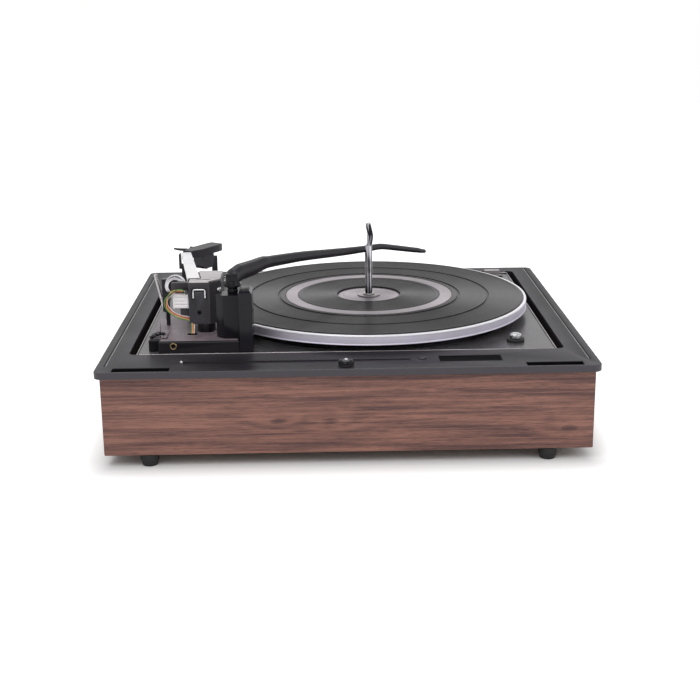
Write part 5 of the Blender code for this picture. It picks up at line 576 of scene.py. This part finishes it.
rimProfile = eased([
    (0.0066, 0.0870), (0.012, 0.0870), (0.012, 0.0955), (0.095, 0.0955), (0.095, 0.0865), (0.098, 0.0865),
    (0.098, 0.0955), (0.149, 0.0955), (0.149, 0.0905), (0.1520, 0.0905), (0.1520, 0.0913), (0.1514, 0.0917),
    (0.1514, 0.0982), (0.1508, 0.0992), (0.1492, 0.0992), (0.1488, 0.0970), (0.0301, 0.0970),
    (0.0298, 0.0985), (0.0058, 0.0985), (0.0058, 0.0870)], 0.00035)
platterRing("platter_body", "rimMetal", "platter", rimProfile)
centreProfile = eased([(0.0060, 0.09852), (0.0240, 0.09852), (0.0247, 0.09880), (0.0285, 0.09880),
                       (0.0296, 0.09852)], 0.0003)
surfacePiece("platter_centre", "centreMetal", None,
             turnedGrid(centreProfile, platter["centreSteps"], platterAxis), body="platter")

# The mat's section: two grooves and the trim ring's seat cut in its top, raised beads beside them
matProfile = eased([
    (0.0306, 0.0973), (0.1487, 0.0973), (0.1487, 0.0992), (0.1480, 0.1000), (0.1455, 0.1000),
    (0.1451, 0.0998), (0.1170, 0.0998), (0.1166, 0.1000), (0.1163, 0.1000), (0.1163, 0.0990),
    (0.1143, 0.0990), (0.1143, 0.1000), (0.1138, 0.1000), (0.1134, 0.0998), (0.0890, 0.0998),
    (0.0886, 0.1000), (0.0883, 0.1000), (0.0883, 0.0990), (0.08575, 0.0990), (0.08575, 0.1000),
    (0.0807, 0.1000), (0.0807, 0.0988), (0.0684, 0.0988), (0.0684, 0.1000), (0.0640, 0.1000),
    (0.0636, 0.0998), (0.0345, 0.0998), (0.0341, 0.1000), (0.0306, 0.1000)], 0.0002, closed=True)
# A bead round the rim's top edge: its shape is real, its near-white colour is a painted highlight
rimHighlight = eased([(0.1492, 0.0990), (0.1492, 0.0994), (0.1511, 0.0994), (0.1517, 0.0988), (0.1517, 0.0979),
                 (0.1512, 0.0979), (0.1508, 0.0990)], 0.0002, closed=True)
platterRing("rim_highlight_line", "rimHighlight", "platter", rimHighlight)
platterRing("mat_body", "mat", "platter_mat", matProfile)
ringProfile = eased([(0.0687, 0.0988), (0.0804, 0.0988), (0.0804, 0.0999), (0.0800, 0.1000), (0.0691, 0.1000),
                     (0.0687, 0.0999)], 0.0002, closed=True)
platterRing("mat_trim", "centreMetal", "mat_ring", ringProfile)
print("stage: platter")


# Spindle: a shaft, the ledge, then the bent and thinner upper part

spindle = {"radius": 0.00345, "tip": 0.0028, "foot": 0.068, "ledge": 0.1474, "top": 0.1697, "bend": 0.0019,
           "chamfer": 0.0002, "chamferRise": 0.0003, "sides": 32}
radius, tip, bend, foot, ledge = (spindle[key] for key in ("radius", "tip", "bend", "foot", "ledge"))
step = radius - tip
heights = np.array([0.0, 0.05, 0.18, 0.34, 0.45, 0.66, 0.86, 0.95, 0.985, 1.0])  # share of the upper part
offsets = -np.array([step, step, step + bend / 3, bend, bend, bend / 2, 0, 0, 0, 0])
radii = tip * np.array([1, 1, 1, 1, 1, 1, 0.98, 0.82, 0.62, 0.0])
fine = np.linspace(0, 1, 40)
rows = [(0, 0, foot), (0, radius, foot), (0, radius, ledge - spindle["chamferRise"]),
        (0, radius - spindle["chamfer"], ledge), (-step, tip - spindle["chamfer"], ledge)]
rows += list(zip(np.interp(fine, heights, offsets), np.interp(fine, heights, radii),
                 ledge + (spindle["top"] - ledge) * fine))
angle = np.arange(spindle["sides"]) / spindle["sides"] * math.tau
cx, cy = platterAxis
spindleGrid = np.array([[(cx + shift + r * math.cos(a), cy + r * math.sin(a), z) for a in angle]
                        for shift, r, z in rows])
surfacePiece("spindle_rod", "spindleChrome", "record_spindle", spindleGrid)
print("stage: spindle")


# Overarm: a round bar that bends down over the platter and thins towards its end, on its neck

overarm = {
    "axis": overarmAxis, "bearing": math.radians(41.1), "length": 0.280, "crest": 0.1520, "end": 0.1226,
    "thick": 0.012, "smoothing": (0.1, 0.2, 0.4, 0.2, 0.1),
    "places": (0, 0.032, 0.086, 0.139, 0.161, 0.321, 0.518, 0.650, 0.739, 0.846, 0.957, 1),
    "rises": (0.796, 0.898, 0.932, 1, 0.993, 0.912, 0.728, 0.626, 0.582, 0.347, 0.099, 0),
    "thicks": (1.2, 1.22, 1.15, 1.0, 0.88, 0.76, 0.64, 0.54, 0.50, 0.48, 0.45, 0.32),
    "block": ((-0.0052, -0.0050, 0.1382), (0.0052, 0.0054, 0.1500)), "blockSoft": 0.0009,
}
ahead = np.array([-math.sin(overarm["bearing"]), -math.cos(overarm["bearing"]), 0])
aside = np.array([ahead[1], -ahead[0], 0])
t = np.linspace(0, 1, 90)
along = np.interp(t, np.linspace(0, 1, len(overarm["places"])), overarm["places"]) * overarm["length"]
lift = overarm["end"] + (overarm["crest"] - overarm["end"]) * np.interp(
    along / overarm["length"], overarm["places"], overarm["rises"])
lift = np.convolve(np.pad(lift, 2, mode="edge"), overarm["smoothing"], mode="valid")
thick = overarm["thick"] / 2 * np.interp(along / overarm["length"], overarm["places"], overarm["thicks"])
thick = np.convolve(np.pad(thick, 2, mode="edge"), overarm["smoothing"], mode="valid")
# a rounded root in front of the first section and a blunt tip past the last
along = np.concatenate([[-0.0030, -0.0028, -0.0022, -0.0012], along, [0.2808, 0.2811]])
lift = np.concatenate([[lift[0]] * 4, lift, [lift[-1]] * 2])
thick = np.concatenate([thick[0] * np.array([0, 0.45, 0.72, 0.92]), thick, [thick[-1] * 0.7, 0]])
turn = np.arange(32) / 32 * math.tau
# section: cosine across, sine up
barGrid = (np.array([*overarm["axis"], 0]) + along[:, None, None] * ahead
           + thick[:, None, None] * np.cos(turn)[None, :, None] * aside
           + (lift[:, None] + thick[:, None] * np.sin(turn)[None, :])[..., None] * np.array([0, 0, 1]))
neckProfile = eased([(0.0034, 0.1328), (0.0046, 0.1328), (0.0046, 0.1352), (0.0042, 0.1358), (0.0042, 0.1364),
                     (0.0046, 0.1370), (0.0046, 0.1380), (0.0072, 0.1382), (0.0075, 0.1398), (0.0062, 0.1432),
                     (0.0048, 0.1444), (0, 0.1444)], 0.0003)
foot = np.array([*overarm["axis"], 0])
block = blockGrid(foot + overarm["block"][0], foot + overarm["block"][1], overarm["blockSoft"])
surfacePiece("overarm_bar", "armPlastic", "overarm", barGrid)
surfacePiece("overarm_neck", "glossPlastic", "overarm", turnedGrid(neckProfile, 40, overarmAxis), block)
print("stage: overarm")


# Tonearm leads: four wires in their own colours, side by side along one route

leads = {
    "radius": 0.00042, "pitch": 0.0015, "wobble": 0.0007,
    "route": (
        ((0.1396, 0.1024, 0.1315), (0, 1, 0)), ((0.1430, 0.1024, 0.1326), (0, 0.9, 0.4)),
        ((0.1495, 0.1024, 0.1324), (0, 0.85, 0.5)), ((0.1545, 0.1024, 0.1290), (0.4, 0.85, 0.3)),
        ((0.1573, 0.1024, 0.1240), (0.5, 0.85, 0)), ((0.1566, 0.1024, 0.1180), (0.4, 0.85, -0.3)),
        ((0.1525, 0.1020, 0.1128), (0.2, 0.85, -0.4)), ((0.1460, 0.1012, 0.1092), (0.3, 0.8, -0.4)),
        ((0.1400, 0.0998, 0.1070), (0.6, 0.5, -0.4)), ((0.1362, 0.0995, 0.1045), (0.55, 0.15, -0.1)),
        ((0.1350, 0.1015, 0.1005), (0.48, 0.1, 0)), ((0.1352, 0.1047, 0.0946), (0.5, 0, 0))),
    "colors": {"white": (0.80, 0.76, 0.72), "red": (0.62, 0.13, 0.08), "orange": (0.80, 0.42, 0.10),
               "green": (0.11, 0.30, 0.08)},
}
wobbleWay = np.array([0.7, 0.2, 0.7])
for number, (name, color) in enumerate(leads["colors"].items()):
    looks[name + "Lead"] = moulded(name + " lead", color=color, worn=color, spread=0.25, scale=800.0,
                                   rough=0.38, relief=0.00002, wear=0.0)
    rank = number - 1.5  # from the middle of the four
    route = []
    for stop, (place, spread) in enumerate(leads["route"]):
        # each wire strays a little by a sine of its own, but not at its ends
        wobble = leads["wobble"] * math.sin(1.7 * stop + 2.1 * number) * (0 < stop < 10)
        route.append(np.array(place) + np.array(spread) * rank * leads["pitch"] + wobble * wobbleWay)
    surfacePiece("lead_" + name, name + "Lead", "lead_harness",
                 sweptGrid(smoothPath(route, 8), leads["radius"], 14))
print("stage: leads")


# Plug that the leads start from, and the clip and eye on the yoke's rear face

leadPlug = {"low": (0.1384, 0.0990, 0.1300), "high": (0.1402, 0.1056, 0.1332), "soft": 0.0004}
surfacePiece("lead_plug", "armPlastic", "lead_harness",
             blockGrid(leadPlug["low"], leadPlug["high"], leadPlug["soft"]))
yokeClip = {"x": 0.12865, "y": 0.1004, "half": 0.0052, "low": 0.1256, "top": 0.1330, "corner": 0.0016,
            "wire": 0.00068}
left, right = yokeClip["x"] - yokeClip["half"], yokeClip["x"] + yokeClip["half"]
clipPath = eased([(left, yokeClip["y"], yokeClip["low"]), (left, yokeClip["y"], yokeClip["top"]),
                  (right, yokeClip["y"], yokeClip["top"]), (right, yokeClip["y"], yokeClip["low"])],
                 yokeClip["corner"], 6)
surfacePiece("yoke_clip", "armMetal", "arm_yoke", sweptGrid(clipPath, yokeClip["wire"], 12, (0, 1, 0)))
eyeProfile = eased([(0.00150, 0.09975), (0.00195, 0.09975), (0.00195, 0.10095), (0.00150, 0.10095)], 0.0001,
                   closed=True)
surfacePiece("yoke_eye", "glossPlastic", "arm_yoke",
             turnedAlongY(eyeProfile, 40, (0.1290, 0.1126)), closed=True)

# Small chrome screw in the yoke's bevel: turned, then leaned out along the bevel's normal
yokeScrew = {"at": (0.1121, 0.0935, 0.1316), "radius": 0.0022, "head": 0.0018, "lean": 45}
reach, top = yokeScrew["radius"], yokeScrew["head"]
screwProfile = eased([(0, -0.0004), (reach, -0.0004), (reach, top * 0.6), (reach * 0.7, top), (0, top)],
                     0.0003)
screwGrid = turnedAlongY(screwProfile, 32, (0, 0))
turn = Matrix.Rotation(math.radians(yokeScrew["lean"]), 3, "Z")
screwGrid = screwGrid @ np.array(turn).T + np.array(yokeScrew["at"])
surfacePiece("yoke_screw", "chrome", "arm_yoke", screwGrid)

# Finger lift: a thin black blade out from the headshell's side
fingerLift = {"points": ((0.1590, -0.1000, 0.1278), (0.1650, -0.1005, 0.1281), (0.1700, -0.1010, 0.1286),
                         (0.1728, -0.1015, 0.1291)), "radii": (0.0016, 0.0009)}
line = smoothPath(fingerLift["points"], 6)
surfacePiece("finger_lift", "armPlastic", "headshell",
             sweptGrid(line, np.linspace(*fingerLift["radii"], len(line)), 14))
print("stage: yoke details")


# Force dial: a bright notched rim, a black face on both sides and its pin

dial = {"centre": (0.1506, 0.134), "front": 0.0825, "rear": 0.0905, "radius": 0.0092, "notches": 44,
        "notchDepth": 0.00028}
front, rear, reach = dial["front"], dial["rear"], dial["radius"]
rimShape = eased([(0.0058, front + 0.0004), (0.0062, front), (0.0089, front), (reach, front + 0.0006),
                  (reach, rear - 0.0022), (0.0080, rear - 0.0004), (0.0058, rear),
                  (0.0054, rear - 0.0006)], 0.0002, closed=True)
surfacePiece("dial_rim", "dialChrome", "force_dial",
             turnedAlongY(rimShape, 176, dial["centre"], dial["notches"], dial["notchDepth"]), closed=True)
faceShape = eased([(0, front + 0.0010), (0.0061, front + 0.0010), (0.0061, rear - 0.0006),
                   (0.0035, rear - 0.0006), (0.0030, rear - 0.0001), (0, rear - 0.0001)], 0.0002)
surfacePiece("dial_face", "glossPlastic", "force_dial", turnedAlongY(faceShape, 72, dial["centre"]))
pinShape = [(0, rear - 0.0004), (0.0020, rear - 0.0004), (0.0020, 0.0945), (0.0017, 0.0948), (0, 0.0948)]
surfacePiece("dial_pin", "steel", "force_dial", turnedAlongY(pinShape, 28, dial["centre"]))
print("stage: dial")


# Cue lever: a leaning rod with fine rings cut round its upper half, on its cross pin

cueLever = {"centre": (0.1659, 0.0662, 0.1180), "lean": (0.22, 0, 1), "tail": 0.0200, "rise": 0.0225,
            "radius": 0.0016, "ringPitch": 0.0019, "ringDepth": 0.00022, "ringsFrom": 0.003,
            "pinStart": 0.1585, "pinOut": 0.0016}
lean, centre = np.array(cueLever["lean"], float), np.array(cueLever["centre"])
s = np.linspace(-cueLever["tail"], cueLever["rise"], 120)
end = np.minimum(s + cueLever["tail"], cueLever["rise"] - s) / cueLever["radius"]
rodRadius = cueLever["radius"] * np.sqrt(1 - (1 - np.clip(end, 0.02, 1)) ** 2)  # half round at both ends
ringed = (s > cueLever["ringsFrom"]) * (end > 1)
rodRadius -= cueLever["ringDepth"] * (0.5 + 0.5 * np.sin(s / cueLever["ringPitch"] * math.tau)) * ringed
surfacePiece("cue_rod", "capMetal", "cue_lever", sweptGrid(centre + s[:, None] * lean, rodRadius, 20))
pinLine = np.linspace((cueLever["pinStart"], *centre[1:]), (centre[0] + cueLever["pinOut"], *centre[1:]), 4)
surfacePiece("cue_pin", "steel", "cue_lever", sweptGrid(pinLine, cueLever["radius"] * 0.95, 20))
print("stage: cue lever")


# Suspension springs: a coil of curls turns, flatter over the first and last endCurl of a turn

spring = {"places": ((-0.1498, 0.10415), (0.1500, -0.0950), (-0.1498, -0.0950), (0.1650, 0.10415)),
          "radius": 0.008, "wire": 0.0016, "curls": 4.5, "endCurl": 0.75}
curl = np.linspace(0, spring["curls"], 160)
flat = np.minimum(curl, spring["endCurl"]) + np.maximum(0, curl - spring["curls"] + spring["endCurl"])
openCurls = spring["curls"] - 2 * spring["endCurl"]
steep = np.clip(curl - spring["endCurl"], 0, openCurls)
for number, (x, y) in enumerate(spring["places"], start=1):
    node = f"suspension_spring_{number}"
    low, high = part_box(node)
    foot, head = low[2] + spring["wire"] / 2, high[2] - spring["wire"] / 2
    endRise = spring["wire"] * spring["endCurl"]
    height = foot + endRise * flat / spring["endCurl"] + (head - foot - 2 * endRise) * steep / openCurls
    coil = np.stack([x + spring["radius"] * np.cos(curl * math.tau),
                     y + spring["radius"] * np.sin(curl * math.tau), height], -1)
    surfacePiece(node + "_wire", "steel", node, sweptGrid(coil, spring["wire"] / 2, 10))
print("stage: springs")


# Brass eyelet in the base's rear face, and the bent spring clip on its left shoulder

eyelet = {"centre": (0.150, 0.0896), "face": 0.12775}
face = eyelet["face"]
eyeletProfile = eased([(0.00185, face - 0.0030), (0.00185, face + 0.0002), (0.0022, face + 0.0007),
                       (0.0028, face + 0.0007), (0.0032, face + 0.0002), (0.0032, face - 0.0002),
                       (0.0022, face - 0.0006), (0.0022, face - 0.0030)], 0.0002, closed=True)
surfacePiece("base_eyelet", "eyeletBrass", "tonearm_base",
             turnedAlongY(eyeletProfile, 48, eyelet["centre"]), closed=True)
baseClip = {"points": ((0.1708, 0.1170, 0.0950), (0.1668, 0.1185, 0.0966), (0.1690, 0.1130, 0.0966),
                       (0.1640, 0.1150, 0.0968), (0.1665, 0.1085, 0.0966), (0.1612, 0.1105, 0.0966),
                       (0.1600, 0.1060, 0.0950)), "wire": 0.0014}
surfacePiece("base_clip", "glossPlastic", "tonearm_base",
             sweptGrid(smoothPath(baseClip["points"], 7), baseClip["wire"], 10))


# Black linings inside the hinge slots and the socket recess: four walls and a floor, whose black is painted
# shade standing in for the hollows' darkness

def trayGrid(left, right, front, rear, low, high):
    corners = np.array([(left, front), (right, front), (right, rear), (left, rear)])
    middle = corners.mean(0)
    rings = [(corners, high), (corners, low), (np.repeat(middle[None], 4, 0), low)]
    return np.array([[(*spot, level) for spot in ringPoints] for ringPoints, level in rings])


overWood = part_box("plinth_rear")[1][2] + 0.0002  # the hinge slots reach down to the plinth's top
shadeTrays = {"hinge_tray_left": (0.1481, 0.1949, 0.17535, 0.18465, overWood, 0.0845),
         "hinge_tray_right": (-0.1949, -0.1481, 0.17535, 0.18465, overWood, 0.0845),
         "socket_tray": (-0.12915, -0.07705, 0.15295, 0.16925, 0.0834, 0.0846)}
for name, sides in shadeTrays.items():
    surfacePiece(name, "paintedShadeBlack", "deck_surround", trayGrid(*sides))

# Small turned fittings on the deck: cap and pin of the lid's buffer, ring of a dimple, head of a pin
fittings = {
    "buffer_cap": ("glossPlastic", (0.002, 0.17475), (
        (0.0066, 0.0868), (0.0068, 0.0876), (0.0058, 0.0892), (0.0036, 0.0899), (0.0018, 0.0897),
        (0, 0.0896))),
    "buffer_pin": ("chrome", (0.002, 0.17475), (
        (0.0016, 0.0894), (0.0016, 0.0901), (0.0009, 0.0905), (0, 0.0906))),
    "dimple_ring": ("glossPlastic", (-0.0628, 0.1589), (
        (0.0046, 0.0849), (0.0042, 0.0855), (0.0034, 0.0857), (0.0026, 0.0853), (0.0012, 0.0851),
        (0, 0.0851))),
    "deck_pin": ("chrome", (0.1400, 0.1597), (
        (0.0013, 0.0848), (0.0012, 0.0856), (0.0006, 0.0860), (0, 0.0861))),
}
for name, (look, place, profile) in fittings.items():
    surfacePiece(name, look, "deck_surround", turnedGrid(eased(profile, 0.0003), 48, place))

# Thin bright lines, painted highlights where edges catch the light: round the unit plate, along the two border
# grooves, at the opening's rear edge
plateHighlight = {"left": 0.1812, "right": -0.1812, "rear": 0.1344, "front": -0.1689, "corner": 0.004,
             "level": 0.0835, "wire": 0.0005}
left, right, front, rear = (plateHighlight[side] for side in ("left", "right", "front", "rear"))
middle = (left + right) / 2
loop = eased([(x, y, plateHighlight["level"]) for x, y in (
    (middle, rear), (left, rear), (left, front), (right, front), (right, rear), (middle, rear))],
    plateHighlight["corner"], 8)
surfacePiece("plate_highlight_line", "capMetal", "unit_plate", sweptGrid(loop, plateHighlight["wire"], 8))
# start, end, radius, number of sections
straightHighlights = {
    "groove_edge_left": ((0.2018, -0.1810, 0.08495), (0.2018, 0.1690, 0.08495), 0.00028, 6),
    "groove_edge_right": ((-0.2018, -0.1810, 0.08495), (-0.2018, 0.1690, 0.08495), 0.00028, 6),
    "opening_edge": ((-0.1790, 0.1353, 0.0849), (0.1790, 0.1353, 0.0849), 0.0003, 8),
}
for name, (start, end, wire, sections) in straightHighlights.items():
    surfacePiece(name, "capMetal", "deck_surround", sweptGrid(np.linspace(start, end, sections), wire, 8))
print("stage: deck fittings")


# Stage: a pale floor, soft light from all round, the photograph's viewpoint

# The sky dims from horizonTop up to the ceiling for all but the camera; the floor glows beyond the machine,
# its glow fading out towards the machine's footprint: painted shade under it
stage = {"worldStrength": 0.55, "horizonTop": 0.30, "ceilingFrom": 0.95, "ceiling": 0.20, "floorSize": 6.0,
         "floorColor": (0.86, 0.86, 0.86, 1), "floorRough": 0.9, "floorSpecular": 0.1, "floorGlow": 0.56,
         "shadeHalf": (0.200, 0.182, 1.0), "shadeReach": 0.035}
white = (1, 1, 1, 1)
world = bpy.data.worlds.new("studio")
bpy.context.scene.world = world
world.use_nodes = True
background = world.node_tree.nodes["Background"]
background.inputs["Color"].default_value = white
addNodes(world.node_tree, {
    "path": ("ShaderNodeLightPath", {}, {}),
    "mirrored": mathNode("MAXIMUM", "path.Is Glossy Ray", "path.Is Transmission Ray"),
    "way": ("ShaderNodeTexCoord", {}, {}),
    "split": splitNode("way.Generated"),
    "ceiling": rangeNode("split.Z", stage["horizonTop"], stage["ceilingFrom"], 1.0, stage["ceiling"]),
    "soft": mixNode("mirrored.0", stage["worldStrength"], "ceiling.Result", "FLOAT"),
    "plain": mixNode("path.Is Camera Ray", "soft.0", 1.0, "FLOAT"),
})
world.node_tree.links.new(world.node_tree.nodes["plain"].outputs[0], background.inputs["Strength"])

floorLook = bpy.data.materials.new("pale floor")
floorLook.use_nodes = True
floorTree = floorLook.node_tree
floorShader = floorTree.nodes["Principled BSDF"]
for label, value in (("Base Color", stage["floorColor"]), ("Roughness", stage["floorRough"]),
                     ("Specular IOR Level", stage["floorSpecular"]), ("Emission Color", white)):
    floorShader.inputs[label].default_value = value
addNodes(floorTree, {
    "path": ("ShaderNodeLightPath", {}, {}),
    "seen": mathNode("MAXIMUM", "path.Is Camera Ray", "path.Is Glossy Ray"),
    "place": ("ShaderNodeTexCoord", {}, {}),
    "half": vectorNode("ABSOLUTE", "place.Object"),
    "beyond": vectorNode("SUBTRACT", "half.0", stage["shadeHalf"]),
    "outside": vectorNode("MAXIMUM", "beyond.0", (0.0, 0.0, 0.0)),
    "distance": vectorNode("LENGTH", "outside.0"),
    # No glow inside the box round the machine: painted shade under it
    "fade": rangeNode("distance.Value", 0.0, stage["shadeReach"], 0.0, 1.0),
    "faded": mathNode("MULTIPLY", "seen.0", "fade.Result"),
    "glow": mathNode("MULTIPLY", "faded.0", stage["floorGlow"]),
})
floorTree.links.new(floorTree.nodes["glow"].outputs[0], floorShader.inputs["Emission Strength"])
floorSheet = bpy.data.meshes.new("floor")
half = stage["floorSize"] / 2
floorSheet.from_pydata([(-half, -half, 0), (half, -half, 0), (half, half, 0), (-half, half, 0)], [],
                       [(0, 1, 2, 3)])
floor = bpy.data.objects.new("floor", floorSheet)
floorSheet.materials.append(floorLook)
bpy.context.scene.collection.objects.link(floor)

lampAim = Vector((0, 0, 0.06))
lamps = {
    "key": {"at": (0.5, 1.4, 1.7), "size": 1.4, "power": 16.0},
    "fill": {"at": (-1.5, 0.9, 0.9), "size": 1.4, "power": 7.0},
    "top": {"at": (0.0, -1.0, 1.5), "size": 0.8, "power": 7.0},
}
for name, lamp in lamps.items():
    data = bpy.data.lights.new(name, "AREA")
    data.size = lamp["size"]
    data.energy = lamp["power"]
    light = bpy.data.objects.new(name, data)
    light.location = lamp["at"]
    light.rotation_euler = (lampAim - Vector(lamp["at"])).to_track_quat("-Z", "Y").to_euler()
    bpy.context.scene.collection.objects.link(light)

# The viewpoint was fitted with the camera in front, so its axes are turned half round to the rear
camera = {"at": (0.020333, 1.164775, 0.385842), "pitch": 0.2832, "yaw": -0.0219, "roll": -0.0098,
          "focalPixels": 1246.643, "framePixels": 700, "sensor": 36.0, "nearest": 0.01}
cosYaw, sinYaw = math.cos(camera["yaw"]), math.sin(camera["yaw"])
cosPitch, sinPitch = math.cos(camera["pitch"]), math.sin(camera["pitch"])
cosRoll, sinRoll = math.cos(camera["roll"]), math.sin(camera["roll"])
halfTurn = np.diag([-1.0, -1.0, 1.0])
right = np.array([cosYaw, sinYaw, 0.0])
level = np.array([-sinYaw, cosYaw, 0.0])
forward = level * cosPitch - np.array([0, 0, 1.0]) * sinPitch
upward = level * sinPitch + np.array([0, 0, 1.0]) * cosPitch
axes = [halfTurn @ (right * cosRoll + upward * sinRoll), halfTurn @ (upward * cosRoll - right * sinRoll),
        -(halfTurn @ forward)]
eye = bpy.data.objects.new("camera", bpy.data.cameras.new("camera"))
eye.data.sensor_width = camera["sensor"]
eye.data.lens = camera["focalPixels"] * camera["sensor"] / camera["framePixels"]
eye.data.clip_start = camera["nearest"]
eye.matrix_world = Matrix([*np.column_stack([*axes, camera["at"]]).tolist(), [0, 0, 0, 1]])
bpy.context.scene.collection.objects.link(eye)
bpy.context.scene.camera = eye
bpy.context.scene.view_settings.view_transform = "Standard"

print("stage: done")
